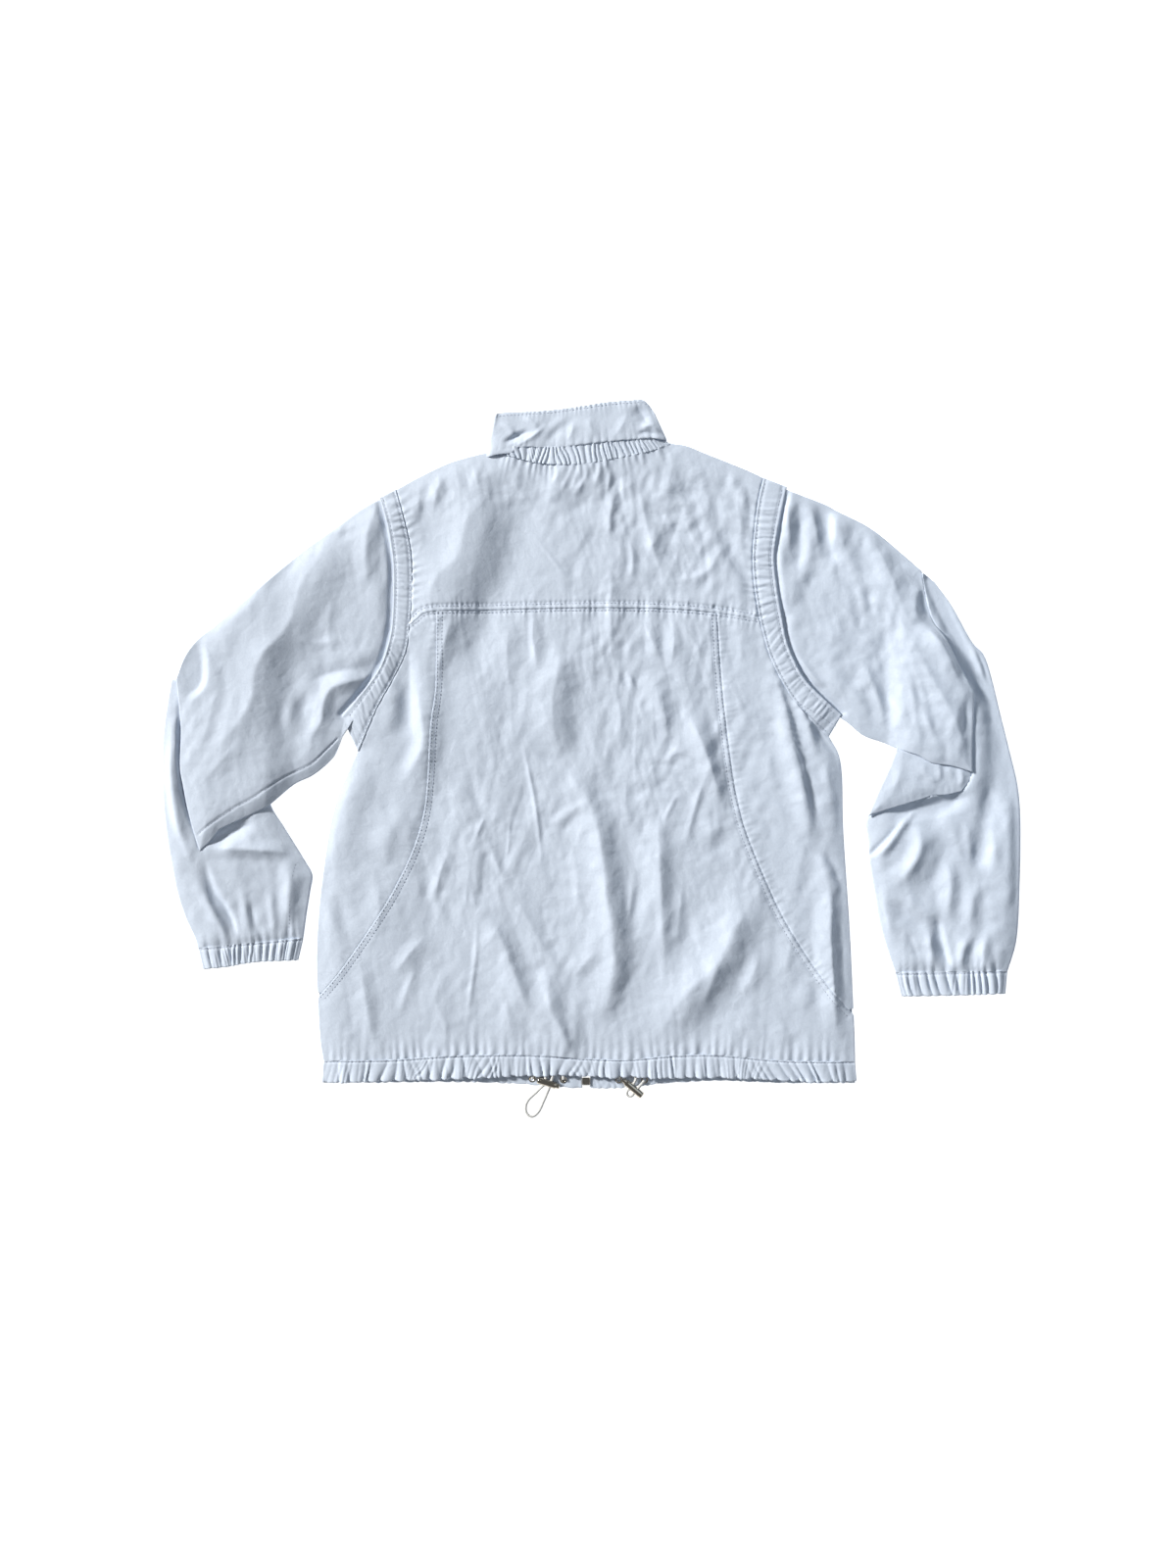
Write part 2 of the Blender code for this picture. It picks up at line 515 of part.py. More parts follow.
def skin(mesh, loops, caps):
    """Faces along a row of equal loops, and the caps asked for at its start and end."""
    rings = [[mesh.verts.new(point) for point in loop] for loop in loops]
    size = len(rings[0])
    for ring, following in zip(rings, rings[1:]):
        for corner in range(size):
            mesh.faces.new((ring[corner], ring[(corner + 1) % size],
                            following[(corner + 1) % size], following[corner]))
    half = size // 2 - 2
    for ring, capped in ((rings[0], caps[0]), (rings[-1], caps[1])):
        if capped:
            for step in range(half):
                mesh.faces.new((ring[step], ring[step + 1], ring[size - 3 - step], ring[size - 2 - step]))
            mesh.faces.new((ring[half], ring[half + 1], ring[half + 2]))
            mesh.faces.new((ring[0], ring[size - 1], ring[size - 2]))
    return rings


def flat_tube(name, rings, folds, open_start, open_end):
    """A sleeve's flat tube: walls of one ply with the hollow between them open at one end."""
    loops = [tube_loops(ring, folds) for ring in rings]
    outer = [loop for loop, _ in loops]
    inner = [loop for _, loop in loops]
    if not open_start:
        inner[0] = [a.lerp(b, 0.1) for a, b in zip(inner[0], inner[1])]
    if not open_end:
        inner[-1] = [a.lerp(b, 0.1) for a, b in zip(inner[-1], inner[-2])]
    mesh = bmesh.new()
    outside = skin(mesh, outer, (not open_start, not open_end))
    inside = skin(mesh, inner, (not open_start, not open_end))
    for is_open, end in ((open_start, 0), (open_end, -1)):
        if is_open:
            size = len(outside[end])
            for corner in range(size):
                following = (corner + 1) % size
                mesh.faces.new((outside[end][corner], outside[end][following],
                                inside[end][following], inside[end][corner]))
    return finish_object(name, mesh, "shell_cloth")


def hide_cutter(cutter):
    """A cutter shapes another piece and isn't one itself."""
    for collection in cutter.users_collection:
        collection.objects.unlink(cutter)
    CUTTERS.objects.link(cutter)
    cutter.hide_render = True
    cutter.display_type = "WIRE"


def boolean(piece, other, operation):
    hide_cutter(other)
    modifier = piece.modifiers.new(operation.lower(), "BOOLEAN")
    modifier.operation = operation
    modifier.solver = "EXACT"
    modifier.object = other


def box(name, low, high, material):
    """A box between two corners."""
    mesh = bmesh.new()
    bmesh.ops.create_cube(mesh, size=1)
    low, high = Vector(low), Vector(high)
    bmesh.ops.scale(mesh, vec=high - low, verts=mesh.verts)
    bmesh.ops.translate(mesh, vec=(low + high) / 2, verts=mesh.verts)
    return finish_object(name, mesh, material)


def rod(name, radius, start, end, material, sides=20):
    """A round rod between two points."""
    start, end = Vector(start), Vector(end)
    mesh = bmesh.new()
    bmesh.ops.create_cone(mesh, cap_ends=True, segments=sides, radius1=radius, radius2=radius,
                          depth=(end - start).length)
    spin = Vector((0, 0, 1)).rotation_difference(end - start).to_matrix().to_4x4()
    bmesh.ops.transform(mesh, matrix=Matrix.Translation((start + end) / 2) @ spin, verts=mesh.verts)
    return finish_object(name, mesh, material, 40)


# ------------------------------------------------------------------ the back
def hump(point):
    """The swelling of the back over the zip's slider."""
    gap = (point - Vector(HUMP_AT)).length
    return HUMP_H * cos(pi / 2 * gap / HUMP_R) ** 2 if gap < HUMP_R else 0.0


def back_top(point):
    """Height of the back: low at its folded edges, full inside them, with its largest folds."""
    gap = min(distance_to(point, edge)[0] for edge in FREE_EDGES)
    inside = smoothstep(gap / LOFT_REACH)
    near_hem = 0.6 * smoothstep((point.y + 280) / -40)
    full = BACK_TOP - EDGE_TOP + fold_height(point, BACK_FOLDS) + near_hem
    return EDGE_TOP + inside * full + hump(point)


def back_under(point):
    return min(back_top(point) - CLOTH, FRONT_TOP + HOLLOW + hump(point))


def make_back():
    """Yoke, centre panel and the two side panels."""
    seam_rows, foot_rows, side_columns, centre_columns = 15, 3, 3, 23
    yoke_columns = 2 * (side_columns - 1) + centre_columns
    meets = {side: Vector(CURVED_SEAM[side][0]) for side in CURVED_SEAM}
    whole = smooth(YOKE_SEAM, 200)
    split = {side: min(range(200), key=lambda i: (whole[i] - meets[side]).length) for side in meets}
    seam_left = even(whole[:split["left"] + 1], side_columns)
    seam_middle = even(whole[split["left"]:split["right"] + 1], centre_columns)
    seam_right = even(whole[split["right"]:], side_columns)
    yoke_seam = seam_left + seam_middle[1:] + seam_right[1:]
    shoulder_columns = 9
    neck_columns = yoke_columns - 2 * (shoulder_columns - 1)
    top = (smooth(SHOULDER["left"][::-1], shoulder_columns)
           + smooth(NECK_SEAM, neck_columns)[1:] + smooth(SHOULDER["right"], shoulder_columns)[1:])
    panel("back_yoke", top, SEAMS["right"]["upper"], yoke_seam, SEAMS["left"]["upper"], back_top, back_under)
    curved = {}
    for side, middle_end, outer in (("left", seam_middle[0], seam_left),
                                    ("right", seam_middle[-1], seam_right)):
        line = smooth([middle_end] + CURVED_SEAM[side][1:], seam_rows)
        line[-2] = line[-1].lerp(line[-2], 0.25)
        curved[side] = line
        rest = smooth(SIDE_EDGE[side], seam_rows - SEAMS["rows"])
        rest[-1] = rest[-1].lerp(rest[-2], 0.18)
        edge, seam = SEAMS[side]["lower"] + rest[1:], line[:-1]
        foot = [edge[-1], (edge[-1] + seam[-1]) / 2, seam[-1]]
        if side == "left":
            panel("back_side_left", outer, seam, foot, edge, back_top, back_under)
        else:
            panel("back_side_right", outer, edge, foot[::-1], seam, back_top, back_under)
    left = curved["left"] + smooth(SIDE_FOOT["left"], foot_rows + 1)[1:]
    right = curved["right"] + smooth(SIDE_FOOT["right"], foot_rows + 1)[1:]
    hem = smooth(HEM_SEAM, centre_columns)
    panel("back_centre", seam_middle, right, hem, left, back_top, back_under)
    return hem


def make_hem(hem):
    """The casing along the back's foot, gathered by its cord, and the fronts' casings under it."""
    steps = 3
    top = [hem[0]]
    for start, end in zip(hem, hem[1:]):
        top += [start.lerp(end, step / steps) for step in range(1, steps + 1)]
    bottom = smooth(HEM_EDGE, len(top))
    left, right = even([top[0], bottom[0]], 3), even([top[-1], bottom[-1]], 3)

    def hem_top(point):
        gap = min(distance_to(point, edge)[0] for edge in HEM_ENDS)
        inside = smoothstep(gap / LOFT_REACH)
        gather = PLEAT * (1 if int(round((point.x - top[0].x) / 8.2)) % 2 else -1)
        return EDGE_TOP + inside * (HEM_TOP - EDGE_TOP + gather)

    def hem_under(point):
        return min(hem_top(point) - CLOTH, HEM_UNDER)

    panel("hem_back", top, right, bottom, left, hem_top, hem_under)


def zip_centre(y):
    share = (y - ZIP_FOOT[1]) / (ZIP_HEAD[1] - ZIP_FOOT[1])
    return ZIP_FOOT[0] + (ZIP_HEAD[0] - ZIP_FOOT[0]) * share


def zip_lift(y):
    """How far the zip has risen off the flat front towards its slider."""
    return ZIP_LIFT * min(max((y - 248) / 22, 0.0), 1.0)


def make_fronts(hem):
    """Both fronts, flat on the table, and their hem casings."""
    neck = smooth(FRONT_NECK, 31)
    casing = smooth(FRONT_HEM_EDGE, 61)
    for side, sign in (("left", -1), ("right", 1)):
        inner_top = [Vector(p) for p in neck if sign * (p.x - zip_centre(p.y)) > OPENING]
        hem_part = [p for p in hem if sign * (p.x - zip_centre(p.y)) > OPENING]
        edge_part = [p for p in casing if sign * (p.x - zip_centre(p.y)) > OPENING]
        if side == "right":
            hem_part.reverse()
            edge_part.reverse()
            inner_top.reverse()
        opening_top = Vector((zip_centre(inner_top[-1].y) + sign * OPENING, inner_top[-1].y))
        opening_foot = Vector((zip_centre(hem_part[-1].y) + sign * OPENING, hem_part[-1].y))
        casing_foot = Vector((zip_centre(edge_part[-1].y) + sign * OPENING, edge_part[-1].y))
        side_line = (smooth(SHOULDER[side], 9)[1:] + SEAMS[side]["upper"][1:] + SEAMS[side]["lower"][1:]
                     + smooth(SIDE_EDGE[side], 12)[1:] + smooth(SIDE_FOOT[side], 4)[1:-1])
        outline = inner_top[::-1] + side_line + hem_part + [opening_foot, opening_top]
        band = hem_part + [opening_foot, casing_foot] + edge_part[::-1]
        if side == "left":
            outline, band = [opening_top] + outline[:-1], band[::-1]
            band = [Vector(p) for p in band]
        for name, line in ((f"front_{side}", outline), (f"hem_front_{side}", band)):
            area = sum(a.x * b.y - b.x * a.y for a, b in zip(line, line[1:] + line[:1]))
            if area < 0:
                line = line[::-1]
            if name.startswith("hem"):
                flat_piece(name, inset(line, GAP / 2), 0, FRONT_TOP, "shell_cloth")
            else:
                flat_piece(name, inset(line, FRONT_IN), 0, FRONT_TOP, "shell_cloth")


# ------------------------------------------------------------------ bands
def make_neckband():
    """The gathered elastic band between the yoke and the collar."""
    columns = 33
    bottom, top = smooth(NECK_SEAM, columns), smooth(NECKBAND_TOP, columns)
    bottom, top = cut_back(bottom, 2.0, 2.0), cut_back(top, 0.0, 0.0)
    bottom, top = even(bottom, columns), even(top, columns)
    left, right = even([top[0], bottom[0]], 2), even([top[-1], bottom[-1]], 2)

    def band_top(point):
        share = (point.x - bottom[0].x) / (bottom[-1].x - bottom[0].x)
        inside = smoothstep(min(share, 1 - share) * 8)
        gather = PLEAT * cos(pi * share * (columns - 1))
        return EDGE_TOP + 1.0 + inside * (BACK_TOP - EDGE_TOP - 0.4 + gather) + hump(point)

    panel("neckband", top, right, bottom, left, band_top, lambda point: band_top(point) - CLOTH)


def lifted(line, z):
    return [Vector((point.x, point.y, z)) for point in line]


def make_armhole_band(side):
    """A strip all round one armhole, folded flat at the shoulder and under the arm."""
    sign = 1 if side == "left" else -1
    seam = beside(SEAMS[side]["upper"] + SEAMS[side]["lower"][1:], -sign * GAP)
    edge = smooth(STRIP_EDGE[side], len(seam))
    ends = []
    for near, far in ((0, 1), (-1, -2)):
        along = (edge[near] - seam[near]).normalized()
        out = Vector((-along.y, along.x))
        if out.dot(seam[near] - seam[far]) < 0:
            out = -out
        ends.append(out)
        for line in (seam, edge):
            run = (line[near] - line[far]).normalized()
            line[near] = line[near] - run * END_BACK / max(run.dot(out), 0.5)
    for near, far, last in ((1, 0, 2), (-2, -1, -3)):
        for line in (seam, edge):
            line[near] = line[far].lerp(line[last], 0.5)
    upper = list(zip(lifted(seam, BAND_UPPER), lifted(edge, BAND_UPPER)))
    lower = list(zip(lifted(seam, BAND_LOWER), lifted(edge, BAND_LOWER)))
    shoulder, underarm = (Vector((out.x, out.y, 0)) for out in ends)
    loop = upper + turn(upper[-1], lower[-1], underarm) + lower[::-1] + turn(lower[0], upper[0], shoulder)
    sweep(f"armhole_band_{side}", loop, CLOTH, True)


def make_cuff(side):
    """A gathered elastic cuff: a flat tube with its pleats on top and its underside flat."""
    seam, edge = CUFF[side]
    columns = 35
    seam = cut_back(smooth(seam, 40), 2.6, 2.6)
    edge = cut_back(smooth(edge, 40), 2.6, 2.6)
    seam, edge = even(seam, columns), even(edge, columns)
    upper = []
    for index, (start, end) in enumerate(zip(edge, seam)):
        z = 4.0 + PLEAT * (1 if index % 2 else -1) * min(1, index, columns - 1 - index)
        upper.append((Vector((start.x, start.y, z)), Vector((end.x, end.y, z))))
    lower = list(zip(lifted(even(edge, 7), BAND_LOWER), lifted(even(seam, 7), BAND_LOWER)))
    out = Vector((1, 0, 0))
    loop = upper + turn(upper[-1], lower[-1], out) + lower[::-1] + turn(lower[0], upper[0], -out)
    sweep(f"cuff_{side}", loop, CLOTH, True)


def make_collar():
    pairs = [(Vector((*row.lower, row.z)), Vector((*row.upper, row.z + row.rise))) for row in COLLAR]
    sweep("collar", pairs, CLOTH, False, rows=2)


# ------------------------------------------------------------------ sleeves
def head_rings(side):
    """The sleeve head, tucked under the strip's free edge and coming out from it."""
    sign = -1 if side == "left" else 1
    rings = []
    for row in HEAD_RINGS:
        line = beside(smooth(STRIP_EDGE[side], 30), sign * row.beside)
        rings.append(Ring(even(cut_back(line, row.cut_top, row.cut_foot), 9), TUCK, HEAD))
    return rings


def make_sleeve(side):
    """One sleeve: the upper arm lies folded over the forearm at the elbow."""
    folds = SLEEVE_FOLDS[side]
    sleeve = flat_tube(f"sleeve_{side}", head_rings(side) + UPPER_ARM[side], folds, True, False)
    forearm = flat_tube(f"forearm_{side}", FOREARM[side], folds, False, True)
    if side == "right":
        mesh = bmesh.new()
        skin(mesh, [tube_loops(ring, [])[0] for ring in ELBOW_FOLD], (True, True))
        boolean(sleeve, finish_object("elbow_fold", mesh, "shell_cloth"), "UNION")
    boolean(sleeve, forearm, "UNION")


# ------------------------------------------------------------------ zip
def make_zip():
    """Tapes, chain, end box, and the slider with its pull tab at the top of the closed zip."""
    def at(height):
        return lambda point: CHAIN_Z + height + zip_lift(point.y)

    rows = [-338.0, 248.0, 256.0, 264.0, 270.0, SLIDER_Y + SLIDER_L / 2 + 3]
    for side, sign in (("left", -1), ("right", 1)):
        inner = [Vector((zip_centre(y) + sign * (CHAIN_W / 2 + GAP), y)) for y in rows[::-1]]
        outer = [Vector((zip_centre(y) + sign * TAPE_W, y)) for y in rows[::-1]]
        left, right = (outer, inner) if sign < 0 else (inner, outer)
        panel(f"zip_tape_{side}", [left[0], right[0]], right, [left[-1], right[-1]], left,
              at(TAPE_T / 2), at(-TAPE_T / 2), "zip_tape")
    rows[-1] = SLIDER_Y + 2.0
    left = [Vector((zip_centre(y) - CHAIN_W / 2, y)) for y in rows[::-1]]
    right = [Vector((zip_centre(y) + CHAIN_W / 2, y)) for y in rows[::-1]]
    panel("zip_chain", [left[0], right[0]], right, [left[-1], right[-1]], left,
          at(CHAIN_T / 2), at(-CHAIN_T / 2), "zip_metal")
    x, y = ZIP_FOOT
    box("zip_box", (x - 4, y - 8, 0.2), (x + 4, y - GAP, CHAIN_Z + 1.7), "zip_metal")
    make_slider()


def make_slider():
    x = zip_centre(SLIDER_Y)
    z = CHAIN_Z + ZIP_LIFT
    space = CHAIN_T / 2 + GAP / 2
    back, front = SLIDER_Y - SLIDER_L / 2, SLIDER_Y + SLIDER_L / 2
    half = SLIDER_W / 2
    slider = box("zip_slider", (x - half, back, z + space), (x + half, front, z + space + PLATE), "zip_metal")
    lower = box("lower_plate", (x - half, back, z - space - PLATE), (x + half, front, z - space), "zip_metal")
    neck = box("neck", (x - 0.9, front - 3.2, z - space - 0.2), (x + 0.9, front - 0.6, z + space + 0.2),
               "zip_metal")
    for other in (lower, neck):
        boolean(slider, other, "UNION")
    pin_z = z - space - PLATE - KNUCKLE_R - 0.15
    for sign in (-1, 1):
        lug = box(f"lug_{sign}", (x + sign * 2.9 - 0.5, SLIDER_Y - 1, pin_z - 1),
                  (x + sign * 2.9 + 0.5, SLIDER_Y + 1, z - space - 0.3), "zip_metal")
        boolean(slider, lug, "UNION")
    pin = rod("pin", PIN_R, (x - 3, SLIDER_Y, pin_z), (x + 3, SLIDER_Y, pin_z), "zip_metal", 12)
    boolean(slider, pin, "UNION")
    knuckle_half = 2.9 - 0.5 - GAP
    pull = rod("zip_pull", KNUCKLE_R, (x - knuckle_half, SLIDER_Y, pin_z),
               (x + knuckle_half, SLIDER_Y, pin_z), "zip_metal", 12)
    low = pin_z - KNUCKLE_R * 0.9
    tab = box("tab", (x - knuckle_half + 0.1, SLIDER_Y - PULL_L, low),
              (x + knuckle_half - 0.1, SLIDER_Y - KNUCKLE_R * 0.5, low + PULL_T), "zip_metal")
    boolean(pull, tab, "UNION")
    bore = rod("pull_bore", PIN_R + KNUCKLE_GAP, (x - 5, SLIDER_Y, pin_z), (x + 5, SLIDER_Y, pin_z),
               "zip_metal", 12)
    boolean(pull, bore, "DIFFERENCE")


# ------------------------------------------------------------------ cord locks
def lock_axes(side):
    angle = radians(LOCKS[side].turn)
    along = Vector((cos(angle), sin(angle), 0))
    outward = Vector((sin(angle), -cos(angle), 0))
    return Vector((*LOCKS[side].centre, LOCK_Z)), along, outward


def oblong_cutter(name, middle, along, through, length, height):
    """A cutter through a lock, round at both ends of its length."""
    up = Vector((0, 0, 1))
    half = length / 2 - height / 2
    reach = through * (BARREL_R + 1)
    mesh = bmesh.new()
    points = []
    for index in range(16):
        angle = 2 * pi * (index + 0.5) / 16
        shift = half if cos(angle) > 0 else -half
        points.append(middle + along * (shift + cos(angle) * height / 2) + up * sin(angle) * height / 2)
    near = [mesh.verts.new(point - reach) for point in points]
    far = [mesh.verts.new(point + reach) for point in points]
    mesh.faces.new(near)
    mesh.faces.new(far[::-1])
    for index in range(16):
        following = (index + 1) % 16
        mesh.faces.new((near[index], far[index], far[following], near[following]))
    return finish_object(name, mesh, "lock_metal")


def make_lock(side):
    """A barrel with a cross hole for both strands, and the sprung plunger inside it."""
    centre, along, outward = lock_axes(side)
    half = LOCKS[side].length / 2
    mouth = 1 if side == "left" else -1
    ends = centre - along * mouth * half, centre + along * mouth * (half - 1.5)
    barrel = rod(f"cord_lock_{side}", BARREL_R, ends[0], ends[1], "lock_metal", 24)
    boolean(barrel, rod(f"bore_{side}", BORE_R, ends[0] + along * mouth * CAP, ends[1] + along * mouth * 2,
                        "lock_metal", 20), "DIFFERENCE")
    boolean(barrel, oblong_cutter(f"cross_hole_{side}", centre, along, outward, HOLE_LENGTH, HOLE_HEIGHT),
            "DIFFERENCE")
    inner_end = ends[0] + along * mouth * (CAP + PRESS + GAP)
    plunger = rod(f"plunger_{side}", PLUNGER_R, inner_end, centre + along * mouth * (half + PRESS),
                  "lock_metal", 16)
    slot_middle = centre + along * mouth * PRESS / 2
    boolean(plunger, oblong_cutter(f"plunger_slot_{side}", slot_middle, along, outward, HOLE_LENGTH + PRESS,
                                   HOLE_HEIGHT), "DIFFERENCE")


def cord_route(side):
    """The whole cord: from its first eyelet through the lock, round its loop and back."""
    centre, along, outward = lock_axes(side)
    first, second = centre - along * STRAND, centre + along * STRAND
    reach = outward * (BARREL_R - 0.2)
    points = [Vector(p) for p in CORD_IN[side]] + [first - reach, first, first + reach]
    points += [Vector(p) for p in CORD_LOOP[side]] + [second + reach, second, second - reach]
    return points + [Vector(p) for p in CORD_OUT[side]]


def make_cord(side):
    curve = bpy.data.curves.new(f"drawcord_{side}", "CURVE")
    curve.dimensions = "3D"
    curve.bevel_depth = CORD_R * MM
    curve.bevel_resolution = 2
    curve.use_fill_caps = True
    route = smooth(cord_route(side), CORD_POINTS[side])
    spline = curve.splines.new("POLY")
    spline.points.add(len(route) - 1)
    for knot, point in zip(spline.points, route):
        knot.co = (*(point * MM), 1)
    curve.materials.append(MATERIALS["elastic_cord"])
    GARMENT.objects.link(bpy.data.objects.new(f"drawcord_{side}", curve))


def make_eyelets():
    """Flat metal rings on the front casing, where the cord comes out."""
    for name, (x, y) in EYELETS.items():
        low = FRONT_TOP + GAP
        ring = rod(name, EYELET_R, (x, y, low), (x, y, low + EYELET_H), "lock_metal", 20)
        hole = rod(f"{name}_hole", EYELET_HOLE_R, (x, y, low - 1), (x, y, low + 2), "lock_metal", 16)
        boolean(ring, hole, "DIFFERENCE")


# ------------------------------------------------------------------ build
for old in list(bpy.data.objects):
    bpy.data.objects.remove(old, do_unlink=True)
GARMENT = bpy.data.collections.new("zip_jacket")
CUTTERS = bpy.data.collections.new("cutters")
for group in (GARMENT, CUTTERS):
    bpy.context.scene.collection.children.link(group)
MATERIALS = {}
for slot, (colour, roughness, metallic) in PALETTE.items():
    material = bpy.data.materials.new(slot)
    material.use_nodes = True
    shader = material.node_tree.nodes["Principled BSDF"]
    shader.inputs["Base Color"].default_value = colour
    shader.inputs["Roughness"].default_value = roughness
    shader.inputs["Metallic"].default_value = metallic
    MATERIALS[slot] = material

SEAMS = {"rows": 6}            # the armhole seams' points, which the pieces on both sides share
for side in ("left", "right"):
    SEAMS[side] = {"upper": smooth(ARMHOLE_UPPER[side], 8),
                   "lower": smooth(ARMHOLE_LOWER[side], SEAMS["rows"])}
FREE_EDGES = [SHOULDER["left"], SHOULDER["right"], SIDE_EDGE["left"] + SIDE_FOOT["left"][1:],
              SIDE_EDGE["right"] + SIDE_FOOT["right"][1:]]
HEM_ENDS = [[SIDE_FOOT[side][-1], HEM_EDGE[end]] for side, end in (("left", 0), ("right", -1))]

hem_line = make_back()
make_hem(hem_line)
make_fronts(hem_line)
make_neckband()
make_collar()
for side in ("left", "right"):
    make_armhole_band(side)
    make_sleeve(side)
    make_cuff(side)
    make_lock(side)
    make_cord(side)
make_zip()
make_eyelets()
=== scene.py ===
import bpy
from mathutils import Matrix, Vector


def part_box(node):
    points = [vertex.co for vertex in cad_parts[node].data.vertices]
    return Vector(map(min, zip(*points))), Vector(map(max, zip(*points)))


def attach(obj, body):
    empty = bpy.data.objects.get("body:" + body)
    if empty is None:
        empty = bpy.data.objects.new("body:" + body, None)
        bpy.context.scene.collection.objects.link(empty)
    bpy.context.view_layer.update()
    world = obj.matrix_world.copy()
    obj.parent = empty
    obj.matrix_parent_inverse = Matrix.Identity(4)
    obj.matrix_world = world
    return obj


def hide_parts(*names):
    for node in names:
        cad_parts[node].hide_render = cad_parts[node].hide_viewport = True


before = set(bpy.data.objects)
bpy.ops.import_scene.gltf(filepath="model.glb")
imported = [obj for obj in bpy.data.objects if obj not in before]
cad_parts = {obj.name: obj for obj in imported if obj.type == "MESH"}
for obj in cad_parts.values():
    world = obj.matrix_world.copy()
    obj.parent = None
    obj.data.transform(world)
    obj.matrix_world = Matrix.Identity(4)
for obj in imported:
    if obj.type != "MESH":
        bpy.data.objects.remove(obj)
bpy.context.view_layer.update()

from collections import namedtuple
from math import cos, pi, radians, sin

import bmesh
import bpy
import numpy as np
from mathutils import Vector

# Tables are in millimetres, in the frame of the solids: x to the right as seen from above the
# back, y towards the collar, z up from the floor.
MM = 0.001
# left and right are the picture's, with the sign of x there
SIDES = {"left": -1, "right": 1}

# ------------------------------------------------------------------ camera
# It looks straight down, aimed a little off the middle of the garment as the photo is framed.
ARM_L, ARM_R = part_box("sleeve_left"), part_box("sleeve_right")
COLLAR_BOX, HEM_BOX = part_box("collar"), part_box("hem_front_right")
MID_X = (ARM_L[0][0] + ARM_R[1][0]) / 2
MID_Y = (COLLAR_BOX[1][1] + HEM_BOX[0][1]) / 2
VIEW_X, VIEW_Y, VIEW_HEIGHT = MID_X - 0.0033, MID_Y - 0.0408, 3.0

camera_data = bpy.data.cameras.new("camera")
SENSOR, VIEW_WIDTH = 36, 1.6
camera_data.lens = SENSOR * VIEW_HEIGHT / VIEW_WIDTH
camera_data.sensor_width = SENSOR
camera_data.clip_end = 20
camera = bpy.data.objects.new("camera", camera_data)
camera.location = (VIEW_X, VIEW_Y, VIEW_HEIGHT)
bpy.context.scene.collection.objects.link(camera)
bpy.context.scene.camera = camera

# ------------------------------------------------------------------ locks, cords, eyelets and zip
# Each lock has its middle, the turn of its barrel in degrees, and its length. STRAND is how far each strand
# of the cord is from the lock's middle.
CORD_R = 1.5
LOCKS = {"left": ((-44.8, -345.6), -17.0, 21.0), "right": ((42.8, -351.4), -40.0, 23.0)}
BARREL_R, STRAND = 3.6, 3.2
LOCK_Z = 5.1
# The cord comes in through one eyelet, passes the lock, makes its loop, passes again and goes out.
CORD_IN = {
    "left": [(-60.3, -341.5, 3.8), (-59.7, -339.2, 3.6), (-58.0, -336.2, 3.1), (-55.0, -333.6, 3.1),
             (-51.2, -333.2, 3.1), (-48.1, -335.0, 3.1), (-46.9, -338.0, 3.5)],
    "right": [(27.9, -342.5, 3.8), (28.4, -340.0, 3.6), (30.4, -336.2, 3.1), (34.6, -333.8, 3.1),
              (39.6, -334.2, 3.1), (43.6, -336.9, 3.1), (45.3, -340.4, 3.7), (44.6, -343.8, 4.6)],
}
CORD_LOOP = {
    "left": [(-52.0, -351.0, 4.1), (-55.7, -354.8, 3.0), (-59.6, -358.3, 2.1), (-63.4, -362.0, 1.7),
             (-66.6, -367.2, 1.6), (-67.2, -373.4, 1.6), (-64.9, -378.4, 1.6), (-60.6, -380.0, 1.6),
             (-55.8, -377.3, 1.6), (-52.1, -372.0, 1.6), (-49.3, -365.4, 1.7), (-46.4, -359.0, 2.1),
             (-44.2, -353.6, 3.6)],
    "right": [(36.2, -354.7, 4.3), (36.4, -357.8, 3.7), (39.0, -359.4, 3.6), (41.6, -358.2, 4.2)],
}
CORD_OUT = {
    "left": [(-40.0, -340.4, 4.0), (-38.9, -337.4, 3.2), (-36.0, -334.4, 3.1), (-32.2, -334.2, 3.1),
             (-29.6, -336.8, 3.2), (-28.7, -340.0, 3.7), (-28.7, -342.2, 3.8)],
    "right": [(49.9, -348.0, 4.7), (52.3, -345.2, 4.1), (53.9, -343.2, 3.8)],
}
EYELETS = {"eyelet_1": (-60.4, -341.8), "eyelet_2": (-28.7, -342.6), "eyelet_3": (27.8, -342.8),
           "eyelet_4": (54.2, -342.8)}
ZIP_FOOT, ZIP_HEAD = (-5.5, -340.0), (-12.0, 286.0)

# ------------------------------------------------------------------ cut lines
# Seams and edges as points that a smooth line runs through, x and y.
SHOULDER = {
    "left": [(-95.5, 296), (-106.5, 296), (-143.5, 286), (-173.5, 272), (-199.5, 258)],
    "right": [(79.5, 305.5), (96.5, 303), (116.5, 295), (156.5, 279), (175.5, 270)],
}
ARMHOLE_UPPER = {
    "left": [(-199.5, 258), (-191.5, 229), (-185.5, 202), (-183.5, 179), (-183.5, 149), (-185.5, 121)],
    "right": [(175.5, 270), (170.5, 249), (166.5, 219), (164.5, 189), (166.5, 159), (171.5, 127)],
}
ARMHOLE_LOWER = {
    "left": [(-185.5, 121), (-189.5, 94), (-203.5, 64), (-218.5, 37), (-237.5, -7)],
    "right": [(171.5, 127), (180.5, 94), (191.5, 69), (206.5, 44), (221.5, 26), (241, 8)],
}
STRIP_EDGE = {
    "left": [(-215.5, 250), (-207.5, 222), (-202.5, 189), (-201.5, 159), (-203.5, 119),
             (-210.5, 89), (-220.5, 69), (-238.5, 46), (-253.5, 29)],
    "right": [(198.5, 261), (193.5, 239), (188.5, 214), (185.5, 189), (188.5, 159), (193.5, 129),
              (198.5, 104), (206.5, 84), (216.5, 66), (231.5, 50), (254, 30)],
}
